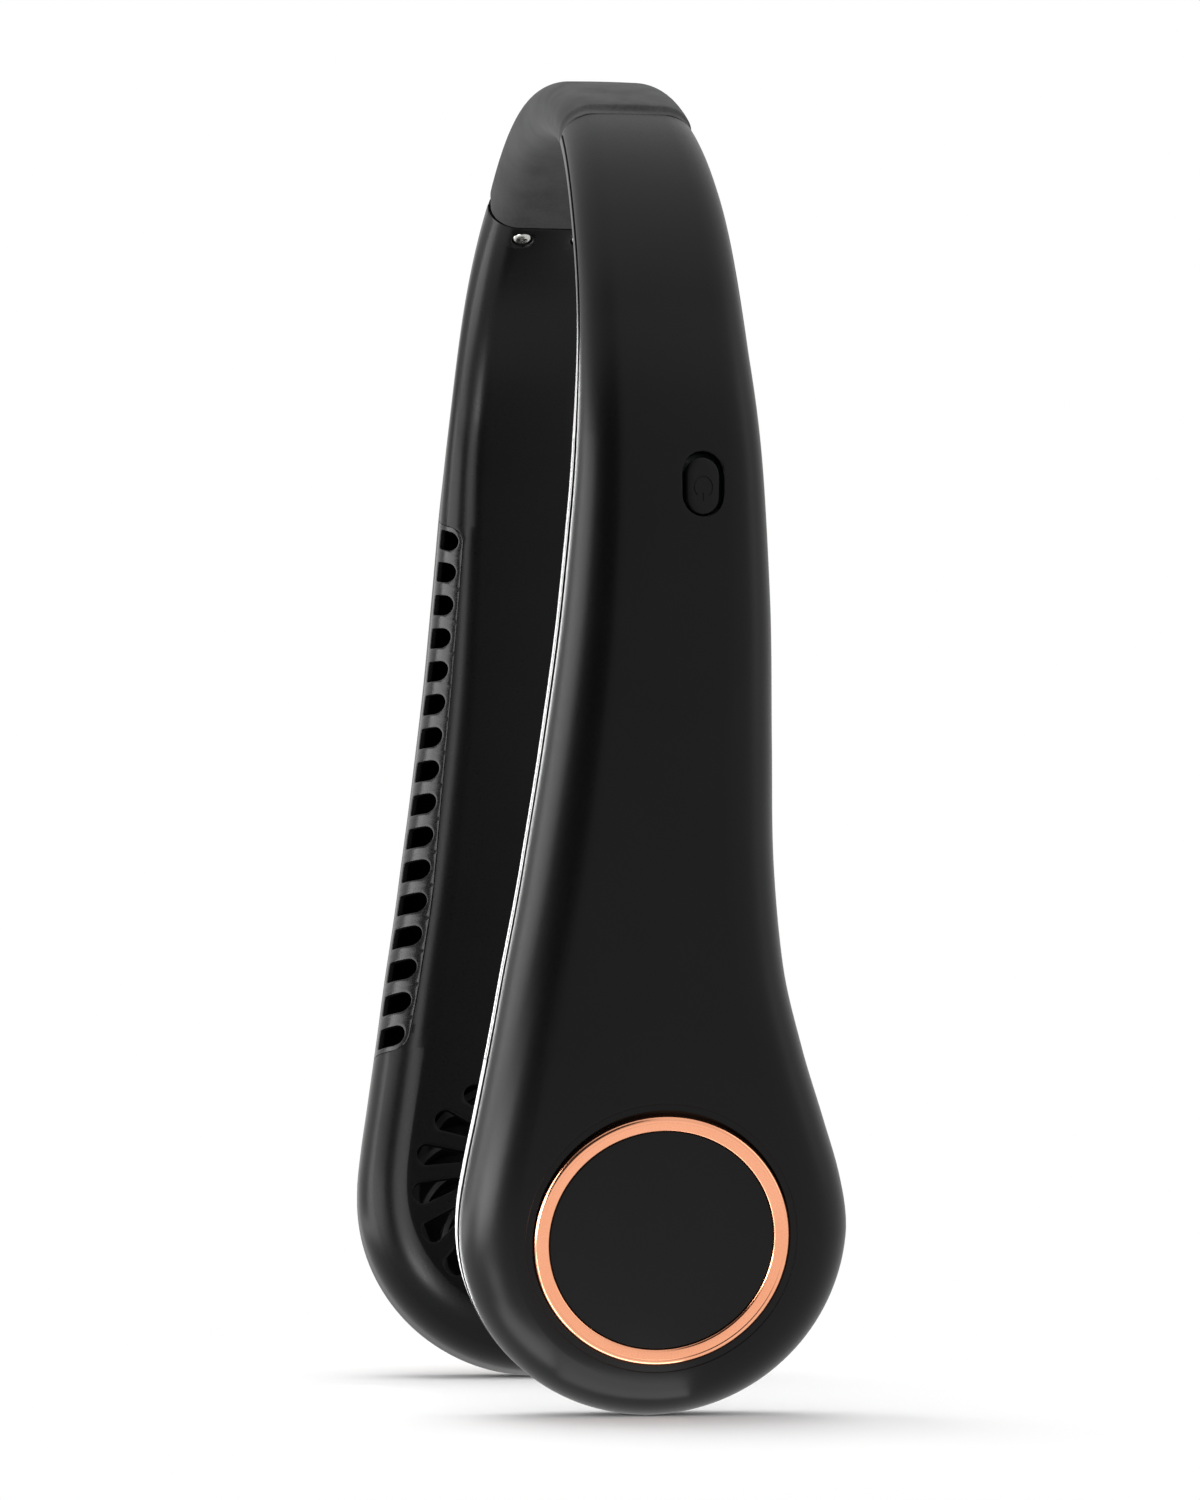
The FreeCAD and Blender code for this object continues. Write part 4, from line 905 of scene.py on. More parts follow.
    def moulded(
        self, patches: Sequence[Piece], side: str, outside: Vector, finish: "Finish", rim: float
    ) -> Piece:
        """Join a shell's patches, dress it, give it its wall and cut the left one's charging mouth.

        Args:
            patches: The patches of its skin.
            side: Which shell it is, for its name.
            outside: A direction in which the skin's outside is known.
            finish: Finish of the skin.
            rim: Width of the softened rims.

        Returns:
            The shell.
        """
        piece = joined(patches, f"{self.arm.label}_{side}_skin")
        face_outwards(piece, outside)
        # Its walls get the dark finish that paints the shade in its openings and seams.
        finish.dress(piece, SHADE_WALL)
        thicken(piece, self.wall, rim)
        if self.arm is Arm.LEFT:
            cut_by(piece, self.mouth())
        smooth(piece)
        return piece

    def edge_point(self, along: float, run: float) -> Vector:
        """Give a point of the slotted edge, by its place and its walk from the parting line."""
        inside, height = FORM.girth(along, run)
        wide, _, _, lean = FORM.section(along)
        return sided(self.arm, FORM.point(self.ends(along), lean - wide + inside, height))

    def inner_band(self) -> Piece:
        """Shape the inner shell's side and rounded edge, open where the slotted strip lies."""
        levels = 1 + self.strip_rows + self.inner_rows

        def spot(column: int, row: int) -> Vector:
            along, sign, _ = PLAN.column(column)
            seam = FORM.girth_to(along, PLAN.strip_edge(along))
            end = FORM.girth_to(along, PLAN.band_inside(along))
            lean = 1.0
            if row <= 1:
                run = PLAN.strip_shy * row
                lean = row
            elif row <= 1 + self.strip_rows:
                run = mix(PLAN.strip_shy, seam, (row - 1) / self.strip_rows)
            else:
                share = (row - 1 - self.strip_rows) / self.inner_rows
                run = mix(seam, end, share)
                lean = 1 - share
            if sign < 0:
                return self.edge_point(PLAN.slanted(along, run, lean), run)
            inside, height = FORM.girth(along, run)
            place, across = PLAN.on_column(column, inside)
            return sided(self.arm, FORM.point(self.ends(place), across, height))

        strip = (PLAN.strip_first, PLAN.strip_last, 1, 1 + self.strip_rows)
        return add_grid("inner_band", PLAN.columns, levels, spot, [strip])

    def petal_hole(self) -> list[Vector]:
        """Draw one tapered opening: two round ends and the straight sides between them."""
        wide, narrow = self.petal_wide / 2, self.petal_narrow / 2
        near, swirl = self.petal_inner + narrow, math.radians(self.petal_swirl)
        tip = Vector((self.petal_outer - wide, 0))
        root = Vector((near * math.cos(swirl), near * math.sin(swirl)))
        axis = (tip - root).normalized()
        lean = math.acos((wide - narrow) / (tip - root).length)
        heading = math.atan2(axis.y, axis.x)

        def on(middle: Vector, radius: float, turn: float) -> Vector:
            return middle + Vector((math.cos(turn), math.sin(turn))) * radius

        hole = []
        first, last = (tip, wide), (root, narrow)
        for start, span in ((heading - lean, 2 * lean), (heading + lean, 2 * math.pi - 2 * lean)):
            for step in range(self.petal_ends):
                hole.append(on(*first, start + span * step / self.petal_ends))
            line = on(*first, start + span), on(*last, start + span)
            hole += [line[0].lerp(line[1], step / self.petal_sides) for step in range(self.petal_sides)]
            first, last = last, first
        return hole

    def petal_edge(self, middle: float) -> Loop:
        """Draw the edge of one opening's share of the plate, about a turn round the pod."""
        ends, sides = self.petal_ends, self.petal_sides
        outer, root = PLAN.cell_ring, self.petal_root
        corners = [(step / ends, outer) for step in range(ends)]
        corners += [(1.0, mix(outer, root, step / sides)) for step in range(sides)]
        corners += [(1 - step / ends, root) for step in range(ends)]
        corners += [(0.0, mix(root, outer, step / sides)) for step in range(sides)]
        pitch = 2 * math.pi / self.petal_count
        turns = [(radius, middle + pitch * (share - 0.5) + self.skew(radius)) for share, radius in corners]
        return [(radius * math.cos(turn), radius * math.sin(turn)) for radius, turn in turns]

    def petal_cells(self, skin: Skin) -> list[Piece]:
        """Shape the grille: one tapered opening with its share of the plate, turned round the pod."""
        hole = self.petal_hole()
        cells = []
        for index in range(self.petal_count):
            middle = 2 * math.pi / self.petal_count * index + math.radians(self.petal_turn)
            turned = [tuple(Matrix.Rotation(middle, 2) @ point) for point in hole]
            cells.append(
                ring_patch(
                    "petal",
                    self.petal_edge(middle),
                    turned,
                    self.cell_rows,
                    lambda down, across: skin(FORM.length + down, across),
                )
            )
        return cells

    def skew(self, radius: float) -> float:
        """Give the turn of the grille's cells at a radius, so that they lean with the openings."""
        tip = self.petal_outer - self.petal_wide / 2
        root = self.petal_inner + self.petal_narrow / 2
        return math.radians(self.petal_swirl) * (tip - max(radius, self.petal_root)) / (tip - root)

    def well_block(self, sign: int) -> Block:
        """Give the columns and rows of the inner face's grid that a screw well takes out."""
        low = 0 if sign < 0 else self.face_columns - self.well_rows
        return *self.well_columns, low, low + self.well_rows

    def screw_well(self, skin: Skin, sign: int) -> Piece:
        """Sink one screw well into the inner shell's upper end."""
        edge = self.block_edge(self.well_block(sign))
        count = len(edge)
        middle = (self.screw_along, sign * self.screw_spread / 2 + self.screw_shift)
        turns = [math.atan2(y - middle[1], x - middle[0]) for x, y in edge]
        depths = (0.0, self.bevel, self.well_depth, self.well_depth, self.well_depth)

        def spot(column: int, row: int) -> Vector:
            if row == 0:
                return skin(*edge[column % count])
            turn = turns[column % count]
            radius = self.well_radius * WELL_SHARES[row - 1]
            along = middle[0] + radius * math.cos(turn)
            across = middle[1] + radius * math.sin(turn)
            height = -FORM.lift(along, across) + depths[row - 1]
            return sided(self.arm, FORM.point(along, across, height))

        return add_grid("well", count, len(depths), spot)

    def inner_shell(self) -> Piece:
        """Build the inner shell, with its grille, screw wells and room for the strip."""
        skin = inner_skin(self.arm)
        total = PLAN.pod_columns
        petal_turn = math.radians(self.petal_turn)
        pitch = 2 * math.pi / total
        offset = -(self.skew(PLAN.cell_ring) + petal_turn) % pitch

        def hub(column: int, row: int) -> Vector:
            turn = pitch * (column % total) + self.skew(self.petal_root) + petal_turn
            radius = self.petal_root * HUB_SHARES[row]
            return skin(FORM.length + radius * math.cos(turn), radius * math.sin(turn))

        signs = (-1, 1)
        patches = [self.inner_band(), self.face_grid(skin, [self.well_block(sign) for sign in signs])]
        patches += [self.screw_well(skin, sign) for sign in signs]
        patches.append(self.plate(skin, offset, []))
        patches += self.petal_cells(skin)
        patches.append(add_grid("hub", total, len(HUB_SHARES) - 1, hub))
        return self.moulded(patches, "inner", Vector((0, -1, 0)), INNER_SHELL, self.grille_rim)

    def mouth(self) -> Piece:
        """Shape the cutter of the charging socket's mouth, which widens to a chamfer outside."""
        low, high = (Vector(corner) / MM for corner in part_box("usb_socket"))
        middle = (low + high) / 2
        _, normal, tangent = FORM.frame(BUTTON.along)
        chamfer, deep = self.mouth_chamfer, self.wall * 2
        levels = [(high.y - deep, 0.0), (high.y, 0.0), (high.y + chamfer, chamfer), (high.y + deep, chamfer)]
        loops = []
        for _, grow in levels:
            length, width = self.mouth_length + 2 * grow, self.mouth_width + 2 * grow
            loops.append(stadium_loop(length, width, self.mouth_ends, self.mouth_sides))
        count = len(loops[0])

        def spot(column: int, row: int) -> Vector:
            down, out = loops[row][column % count]
            place = middle + tangent * down + normal * out
            return Vector((place.x, levels[row][0], place.z))

        cutter = joined([add_grid("mouth", count, len(levels) - 1, spot)], "mouth")
        cap_ends(cutter)
        return cutter

    def slot_hole(self, along: float) -> Loop:
        """Draw one slot on the flattened strip, with small corners outside and a round end inside."""
        half, corner, bend = self.slot_height / 2, self.slot_corner, self.slot_bend
        start = FORM.girth_down(along, self.slot_drop) + corner
        knee = FORM.girth_to(along, PLAN.strip_width(along) - self.slot_margin) - bend
        rows, steps, turns = self.strip_rows, self.slot_steps, self.slot_turn_steps
        hole = [(along - half, mix(start, knee, step / rows)) for step in range(rows)]
        for step in range(steps):
            turn = math.pi * step / steps
            hole.append((along - half * math.cos(turn), knee + bend * math.sin(turn)))
        hole += [(along + half, mix(knee, start, step / rows)) for step in range(rows)]
        for step in range(steps):
            before = min(step, turns)
            after = max(step - steps + turns, 0)
            turn = (before + after) * math.pi / 2 / turns
            flat = (step - before - after) / (steps - 2 * turns)
            reach = mix(half - corner, corner - half, flat) + corner * math.cos(turn)
            hole.append((along + reach, start - corner * math.sin(turn)))
        return hole

    def vent_strip(self) -> Piece:
        """Build the slotted strip: one flat slot cell, repeated and laid round the arm's edge."""
        gap, rows, steps, columns = self.strip_gap, self.strip_rows, self.slot_steps, self.strip_end_columns
        low = PLAN.strip_shy + gap

        def high(along: float) -> float:
            return FORM.girth_to(along, PLAN.strip_edge(along)) - gap

        def skin(along: float, run: float) -> Vector:
            return self.edge_point(PLAN.slanted(along, run), run)

        half_pitch, reach = self.slot_pitch / 2, (self.slot_height + self.slot_margin) / 2
        middles = [self.slot_first + index * self.slot_pitch for index in range(self.slot_count)]
        patches = []
        for along in middles:
            above = along - (reach if along == middles[0] else half_pitch)
            below = along + (reach if along == middles[-1] else half_pitch)
            seam = [mix(above, below, step / steps) for step in range(steps)]
            edge = [(above, mix(low, high(above), step / rows)) for step in range(rows)]
            edge += [(place, high(place)) for place in seam]
            edge += [(below, mix(high(below), low, step / rows)) for step in range(rows)]
            edge += [(mix(below, above, step / steps), low) for step in range(steps)]
            patches.append(ring_patch("slot", edge, self.slot_hole(along), self.cell_rows, skin))
        ends = ((PLAN.strip_start + gap, middles[0] - reach), (middles[-1] + reach, PLAN.strip_end - gap))
        for first, last in ends:
            def spot(column: int, row: int) -> Vector:
                along = mix(first, last, column / columns)
                return skin(along, mix(low, high(along), row / rows))

            patches.append(add_grid("strip_end", columns, rows, spot))
        piece = joined(patches, f"{self.arm.label}_vent_strip_skin")
        face_outwards(piece, Vector((0, -1, 0)))
        # Its walls get the dark finish that paints the shade in its slots and seams.
        VENT.dress(piece, SHADE_WALL)
        thicken(piece, self.strip_wall, self.rim)
        smooth(piece)
        return piece


def lathe(name: str, profile: Loop, steps: int, place: Callable[[float, float, float], Vector]) -> Piece:
    """Turn a profile round an axis.

    Args:
        name: Name of the piece.
        profile: Radius and height of each ring of corners, in order.
        steps: Number of divisions round the axis.
        place: Gives the place of a point by its radius, turn and height.

    Returns:
        The turned piece.
    """
    def spot(column: int, row: int) -> Vector:
        radius, height = profile[row]
        return place(radius, 2 * math.pi * (column % steps) / steps, height)

    return joined([add_grid(name, steps, len(profile) - 1, spot)], name)


# Ring's profile, in mm outwards and down from its inner edge, its fine line and its outer edge.
RING_INNER_ROWS = ((0.0, 0.6), (0.03, 0.52), (0.2, 0.34), (0.3, 0.3))
RING_LINE_ROWS = ((-0.1, 0.08), (-0.04, 0.1), (0.0, 0.1), (0.05, 0.08), (0.1, 0.04))
RING_OUTER_ROWS = ((-0.42, 0.0), (-0.3, 0.05), (-0.06, 0.3), (0.0, 0.44))
# Chamfer of the cap, inwards and down, as shares of its width; circles of its face, as shares of its radius.
CAP_EDGE_SHARES = ((0.0, 1.0), (0.3, 0.4), (0.75, 0.06), (1.3, 0.0))
CAP_FACE_SHARES = (0.7, 0.3, 0.0)


@dataclass
class PodFace:
    """What closes a pod's outer face: the plated ring and the round cap inside it."""

    arm: Arm
    floor: float = 8.5
    ring_outer: float = 19.0
    ring_inner: float = 16.72
    ring_top: float = 10.1
    ring_line: float = 18.2
    ring_crisp: float = 32.0
    cap_radius: float = 16.66
    cap_top: float = 9.46
    cap_edge: float = 0.16
    cap_crisp: float = 50.0
    steps: int = 192

    def turned(self, name: str, profile: Loop, crisp: float) -> Piece:
        """Turn a profile round the pod's axis and shade it, crisp at edges over an angle."""
        def place(radius: float, turn: float, height: float) -> Vector:
            return sided(self.arm, pod_point(radius, turn, height))

        piece = lathe(f"{self.arm.label}_{name}", profile, self.steps, place)
        smooth(piece, crisp)
        return piece

    def ring(self) -> Piece:
        """Turn the ring: rounded outer edge, sloped band, fine line, flat land and inner chamfer."""
        inner, outer = self.ring_inner, self.ring_outer
        profile = [(inner, self.floor)]
        edges = ((inner, RING_INNER_ROWS), (self.ring_line, RING_LINE_ROWS), (outer, RING_OUTER_ROWS))
        for edge, rows in edges:
            profile += [(edge + out, self.ring_top - down) for out, down in rows]
        profile += [(outer, self.floor), (inner, self.floor)]
        return self.turned("ring", profile, self.ring_crisp)

    def cap(self) -> Piece:
        """Turn the cap: a flat disc with a fine chamfer."""
        top, radius, edge = self.cap_top, self.cap_radius, self.cap_edge
        profile = [(0.0, self.floor), (radius, self.floor)]
        profile += [(radius - edge * across, top - edge * down) for across, down in CAP_EDGE_SHARES]
        profile += [(radius * share, top) for share in CAP_FACE_SHARES]
        return self.turned("cap", profile, self.cap_crisp)


# Domed top of a screw's head: share of its radius, and mm down from its top.
SCREW_TOP_ROWS = ((0.0, 0.0), (0.62, 0.02), (0.86, 0.14), (1.0, 0.42))


@dataclass
class ShellScrews:
    """The two bright cross-head screws in their wells at the top of an arm's inner face."""

    arm: Arm
    head_radius: float = 1.6
    head_height: float = 0.85
    shank_radius: float = 0.95
    shank_length: float = 3.4
    point_length: float = 0.4
    point_share: float = 0.5
    cross_length: float = 2.1
    cross_width: float = 0.5
    cross_depth: float = 0.55
    cross_taper: tuple[float, float, float] = (0.55, 0.7, 1.0)
    crisp: float = 35.0
    steps: int = 48

    def one(self) -> Piece:
        """Turn one screw upright at the origin and cut its cross recess."""
        head, top, shank = self.head_radius, self.head_height, self.shank_radius
        point = -self.shank_length - self.point_length
        profile = [(head * share, top - down) for share, down in SCREW_TOP_ROWS]
        profile += [(head, 0.0), (shank, 0.0), (shank, -self.shank_length)]
        profile += [(shank * self.point_share, point), (0.0, point)]

        def place(radius: float, turn: float, height: float) -> Vector:
            return Vector((radius * math.cos(turn), radius * math.sin(turn), height))

        screw = lathe("screw", profile, self.steps, place)
        size = Vector((self.cross_length, self.cross_width, self.cross_depth * 2)) * MM
        for turn in (0.0, math.pi / 2):
            deselect()
            bpy.ops.mesh.primitive_cube_add(size=1)
            blade = bpy.context.object
            blade.data.transform(Matrix.Diagonal(size.to_4d()))
            for vertex in blade.data.vertices:
                if vertex.co.z < 0:
                    vertex.co *= Vector(self.cross_taper)
            blade.data.transform(Matrix.Translation((0, 0, top * MM)) @ Matrix.Rotation(turn, 4, "Z"))
            cut_by(screw, blade)
        smooth(screw, self.crisp)
        return screw

    def build(self) -> Piece:
        """Set both screws in their wells, facing inwards."""
        screw = self.one()
        wells = ArmShells(self.arm)
        along = wells.screw_along
        _, normal, tangent = FORM.frame(along)
        inwards, down = sided(self.arm, -normal), sided(self.arm, tangent)
        turn = Matrix((down, inwards.cross(down), inwards)).transposed().to_4x4()
        pair = []
        for sign in (-1, 1):
            across = sign * wells.screw_spread / 2 + wells.screw_shift
            floor = FORM.point(along, across, wells.well_depth - FORM.lift(along, across))
            move = Matrix.Translation(sided(self.arm, floor) * MM) @ turn
            pair.append(copied(screw, "screw_copy", move))
        bpy.data.objects.remove(screw)
        activate(pair[0])
        pair[1].select_set(True)
        bpy.ops.object.join()
        piece = bpy.context.object
        piece.name = f"{self.arm.label}_screws"
        return piece


# Soft edge of the button's cap, inwards and down, as shares of its width.
BUTTON_EDGE_SHARES = ((0.0, 1.0), (0.13, 0.5), (0.5, 0.13), (1.0, 0.0))
Stroke = Callable[[float], tuple[float, float, float, float]]


@dataclass
class ButtonCap:
    """The power button's cap."""

    sign_radius: float = 1.35
    sign_line: float = 0.26
    sign_depth: float = 0.2
    sign_reach: float = 0.8
    sign_gap: float = 38.0
    bar_start: float = 0.75
    bar_end: float = 1.85
    arc_steps: int = 48
    bar_steps: int = 4
    end_steps: int = 24
    side_steps: int = 12
    crisp: float = 35.0

    def spot(self, x: float, y: float, out: float) -> Vector:
        """Place a point of the button's own plan, at a height over the shell's face."""
        along, across = BUTTON.along + BUTTON.low + x, BUTTON.side + y
        face = FORM.lift(BUTTON.along, across) + FORM.face_crown(BUTTON.along, across)
        return FORM.point(along, across, face + out)

    def stroke(self, line: Stroke, steps: int) -> Piece:
        """Make one line of the sign as a cutter.

        Args:
            line: Gives the line's middle point and its sideways direction at a share.
            steps: Divisions along the line.

        Returns:
            A closed flat bar that follows the line.
        """
        def place(column: int, row: int) -> Vector:
            x, y, dx, dy = line(column / steps)
            side = (row - 0.5) * self.sign_line
            return self.spot(x + dx * side, y + dy * side, -BUTTON.sunk - self.sign_depth)

        bar = add_grid("sign", steps, 1, place)
        face_outwards(bar, Vector((1, 0, 0)))
        finish_with(bar, "SOLIDIFY", thickness=self.sign_reach * MM, offset=1.0)
        return bar

    def build(self) -> Piece:
        """Shape the cap, with a soft edge and a flat face, and cut the sign into it."""
        half, edge = BUTTON.width / 2, BUTTON.edge
        levels = [(half, -BUTTON.foot), (0.0, -BUTTON.foot)]
        levels += [(edge * across, -edge * down) for across, down in BUTTON_EDGE_SHARES]
        levels += [(half / 2, 0.0), (half, 0.0)]
        loops = []
        for inset, _ in levels:
            length, width = BUTTON.length - 2 * inset, BUTTON.width - 2 * inset
            loops.append(stadium_loop(length, width, self.end_steps, self.side_steps))
        count = len(loops[0])

        def place(column: int, row: int) -> Vector:
            x, y = loops[row][column % count]
            return self.spot(x, y, levels[row][1] - BUTTON.sunk)

        cap = joined([add_grid("cap", count, len(levels) - 1, place)], "power_button_cap")
        gap = math.radians(self.sign_gap)

        def arc(share: float) -> tuple[float, float, float, float]:
            turn = mix(gap, 2 * math.pi - gap, share)
            x, y = math.cos(turn), math.sin(turn)
            return x * self.sign_radius, y * self.sign_radius, x, y

        def bar(share: float) -> tuple[float, float, float, float]:
            return mix(self.bar_start, self.bar_end, share), 0.0, 0.0, 1.0

        cut_by(cap, self.stroke(arc, self.arc_steps))
        cut_by(cap, self.stroke(bar, self.bar_steps))
        smooth(cap, self.crisp)
        return cap


def sweep(name: str, arm: Arm, loops: Sequence[tuple[float, Loop]]) -> Piece:
    """Skin a row of closed outlines along the arm's centre line.

    Args:
        name: Name of the piece.
        arm: The side it lies on.
        loops: Place down the arm and outline, as across and out, of each section.

    Returns:
        An open tube.
    """
    count = len(loops[0][1])

    def spot(column: int, row: int) -> Vector:
        along, outline = loops[row]
        across, out = outline[column % count]
        return sided(arm, FORM.point(along, across, out))

    return joined([add_grid(name, count, len(loops) - 1, spot)], name)


# How the sleeve necks down at its collar: mm past the collar's start, and share of the full depth.
COLLAR_SHARES = ((-0.5, 0.04), (-0.3, 0.15), (-0.1, 0.38), (0.1, 0.64), (0.3, 0.85), (0.5, 0.96), (0.75, 1.0))


@dataclass
class NeckBand:
    """One half of the neck band: the rubber sleeve, the flat spring and the link cable in it."""

    arm: Arm
    wall: float = 1.8
    rise: float = 0.8
    collar_length: float = 1.7
    collar_lead: float = 0.7
    collar_depth: float = 0.28
    collar_sink: float = 0.09
    collar_keep: float = 0.45
    lip: float = 0.25
    lip_depth: float = 0.12
    oval: float = 0.2
    crown: float = 0.25
    joint_gap: float = 0.05
    spring_width: float = 6.4
    spring_thickness: float = 0.6
    spring_edge: float = 0.2
    spring_out: float = 0.95
    spring_end: float = -0.5
    cable_radius: float = 0.7
    cable_in: float = 0.6
    cable_run: float = 18.0
    cable_sides: int = 24
    bend_reach: float = 13.0
    crisp: float = 50.0
    steps: int = 48
    round_steps: int = 14
    flat_steps: tuple[int, int] = (7, 1)

    def outline(self, wide: float, thick: float, edge: float, out: float, oval: float = 0.0) -> Loop:
        """Draw a rounded outline.

        Args:
            wide: Half the width.
            thick: Half the thickness.
            edge: Height of the edge rounding.
            out: How far the outline lies outwards of the centre line.
            oval: How much wider than high the rounding is, as a share.

        Returns:
            The outline, as across and out.
        """
        reach = edge * (1 + oval)
        signs = ((1, 1), (-1, 1), (-1, -1), (1, -1))

        def on(corner: int, turn: float) -> tuple[float, float]:
            right, up = signs[corner % len(signs)]
            across = right * (wide - reach) + reach * math.cos(turn)
            return across, up * (thick - edge) + edge * math.sin(turn) + out

        points = []
        for corner in range(len(signs)):
            for step in range(self.round_steps + 1):
                points.append(on(corner, (corner + step / self.round_steps) * math.pi / 2))
            start, end = points[-1], on(corner + 1, (corner + 1) * math.pi / 2)
            extra = self.flat_steps[corner % 2]
            for step in range(1, extra + 1):
                share = step / (extra + 1)
                points.append((mix(start[0], end[0], share), mix(start[1], end[1], share)))
        return points

    def places(self, end: float) -> list[float]:
        """Give evenly spaced places from the middle of the band to an end."""
        return [mix(FORM.top, end, step / self.steps) for step in range(self.steps + 1)]

    def sleeve(self) -> Piece:
        """Skin the sleeve and its necked collar, and give it its wall."""
        collar, deep, half = self.collar_length, self.collar_depth, FORM.strap_half_width
        rows = [(place, 0.0) for place in self.places(-collar - self.collar_lead)]
        rows += [(place - collar, share) for place, share in COLLAR_SHARES]
        rows += [(-self.joint_gap - self.lip, 1.0), (-self.joint_gap, 1.0 + self.lip_depth / deep)]
        loops = []
        for along, sink in rows:
            rise = self.rise / 2 * mix(1.0, self.collar_keep, min(sink, 1.0))
            grow = rise - self.collar_sink * sink
            thick, edge = FORM.strap_half_thickness + grow, FORM.strap_edge_round + grow
            outline = self.outline(half - deep * sink, thick, edge, rise, self.oval)
            crown = self.crown * max(1 - sink, 0.0)
            loops.append((along, [(x, y + crown * (1 - (x / half) ** 2) * (y > 0)) for x, y in outline]))
        piece = sweep(f"{self.arm.label}_sleeve", self.arm, loops)
        face_outwards(piece, Vector((0, 0, 1)))
        finish_with(piece, "SOLIDIFY", thickness=self.wall * MM, offset=-1.0, use_even_offset=True)
        smooth(piece, self.crisp)
        return piece

    def rod(self, name: str, outline: Loop, end: float) -> Piece:
        """Skin a closed rod of one outline, from the middle of the band to an end."""
        piece = sweep(f"{self.arm.label}_{name}", self.arm, [(place, outline) for place in self.places(end)])
        cap_ends(piece)
        smooth(piece)
        return piece

    def spring(self) -> Piece:
        """Skin the flat spring."""
        wide, thick = self.spring_width / 2, self.spring_thickness / 2
        outline = self.outline(wide, thick, self.spring_edge, self.spring_out)
        return self.rod("spring", outline, self.spring_end)

    def cable(self) -> Piece:
        """Skin the link cable."""
        radius, sides = self.cable_radius, self.cable_sides
        turns = [2 * math.pi * step / sides for step in range(sides)]
        outline = [(radius * math.cos(turn), radius * math.sin(turn) - self.cable_in) for turn in turns]
        return self.rod("cable", outline, self.cable_run)

    def bend(self, piece: Piece) -> None:
        """Bake a piece of the band's place into its mesh; where it would bend, between the crown and the arm,
        is worked out but not used.
        """
        middle, _, tangent = FORM.frame(FORM.top / 2)
        start = sided(self.arm, middle - tangent * self.bend_reach) * MM
        end = sided(self.arm, middle + tangent * self.bend_reach) * MM
        self.arm.body
        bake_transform(piece)


def linear(code: str) -> tuple[float, float, float, float]:
    """Turn an sRGB hex colour into the linear values that sockets take."""
    values = []
    for index in (1, 3, 5):
        share = int(code[index:index + 2], 16) / 255
        values.append(share / 12.92 if share <= 0.04045 else ((share + 0.055) / 1.055) ** 2.4)
    return values[0], values[1], values[2], 1.0


def add_node(
    tree: Tree, kind: str, inputs: dict[str | int, object] | None = None, **settings: object
) -> bpy.types.Node:
    """Add a node with its settings, values and links.

    Args:
        tree: The node tree.
        kind: Blender's name for the node's type.
        inputs: Socket names or numbers with a value, or with a node's output to link.
        settings: The node's own properties.

    Returns:
        The new node.
    """
    node = tree.nodes.new(kind)
    for key, value in settings.items():
        setattr(node, key, value)
    for key, value in (inputs or {}).items():
        if isinstance(value, Socket):
            tree.links.new(value, node.inputs[key])
        else:
            node.inputs[key].default_value = value
    return node


def ranged(
    tree: Tree,
    value: Socket,
    source: tuple[float, float],
    target: tuple[float, float],
    curve: str = "LINEAR",
) -> Socket:
    """Add a node that carries one range of values over to another."""
    inputs = {"Value": value, "From Min": source[0], "From Max": source[1]}
    inputs |= {"To Min": target[0], "To Max": target[1]}
    return add_node(tree, "ShaderNodeMapRange", inputs, interpolation_type=curve).outputs["Result"]


def eased(
    tree: Tree, value: Socket, source: tuple[float, float], target: tuple[float, float] = (0.0, 1.0)
) -> Socket:
    """Add a node that carries one range of values over to another, softly at both ends."""
    return ranged(tree, value, source, target, "SMOOTHSTEP")


def maths(tree: Tree, operation: str, *values: object, clamp: bool = False) -> Socket:
    """Add a node that works out one value from others."""
    inputs = dict(enumerate(values))
    return add_node(tree, "ShaderNodeMath", inputs, operation=operation, use_clamp=clamp).outputs[0]


def blended(tree: Tree, share: object, first: object, last: object) -> Socket:
    """Add a node that mixes two colours, given as hex codes, or two values, by a share."""
    if isinstance(first, str):
        inputs = {"Factor": share, 6: linear(first), 7: linear(last)}
        return add_node(tree, "ShaderNodeMix", inputs, data_type="RGBA").outputs[2]
    return add_node(tree, "ShaderNodeMix", {"Factor": share, "A": first, "B": last}).outputs["Result"]


def cleared(owner: bpy.types.Material | bpy.types.World) -> Tree:
    """Give the empty node tree of a new material or world."""
    owner.use_nodes = True
    owner.node_tree.nodes.clear()
    return owner.node_tree


# How fine the noise of specks and patches is, and the middle part of its values that is used.
SPECK_DETAIL = 3.0
SPECK_ROUGHNESS = 0.6
PATCH_DETAIL = 2.0
PATCH_RANGE = (0.3, 0.7)
SPECK_RANGE = (0.35, 0.65)
# How far patches and specks shade the colour, how brushed marks are drawn out, and how deep the relief is.
PATCH_SHARE = 0.6
SPECK_SHARE = 0.4
BRUSH_SHARES = (1.0, 1.0, 0.08)
RELIEF_SHARE = 0.2


class Grain(Enum):
    """How a surface's fine relief runs."""

    SPARK = "spark"
    BRUSHED = "brushed"


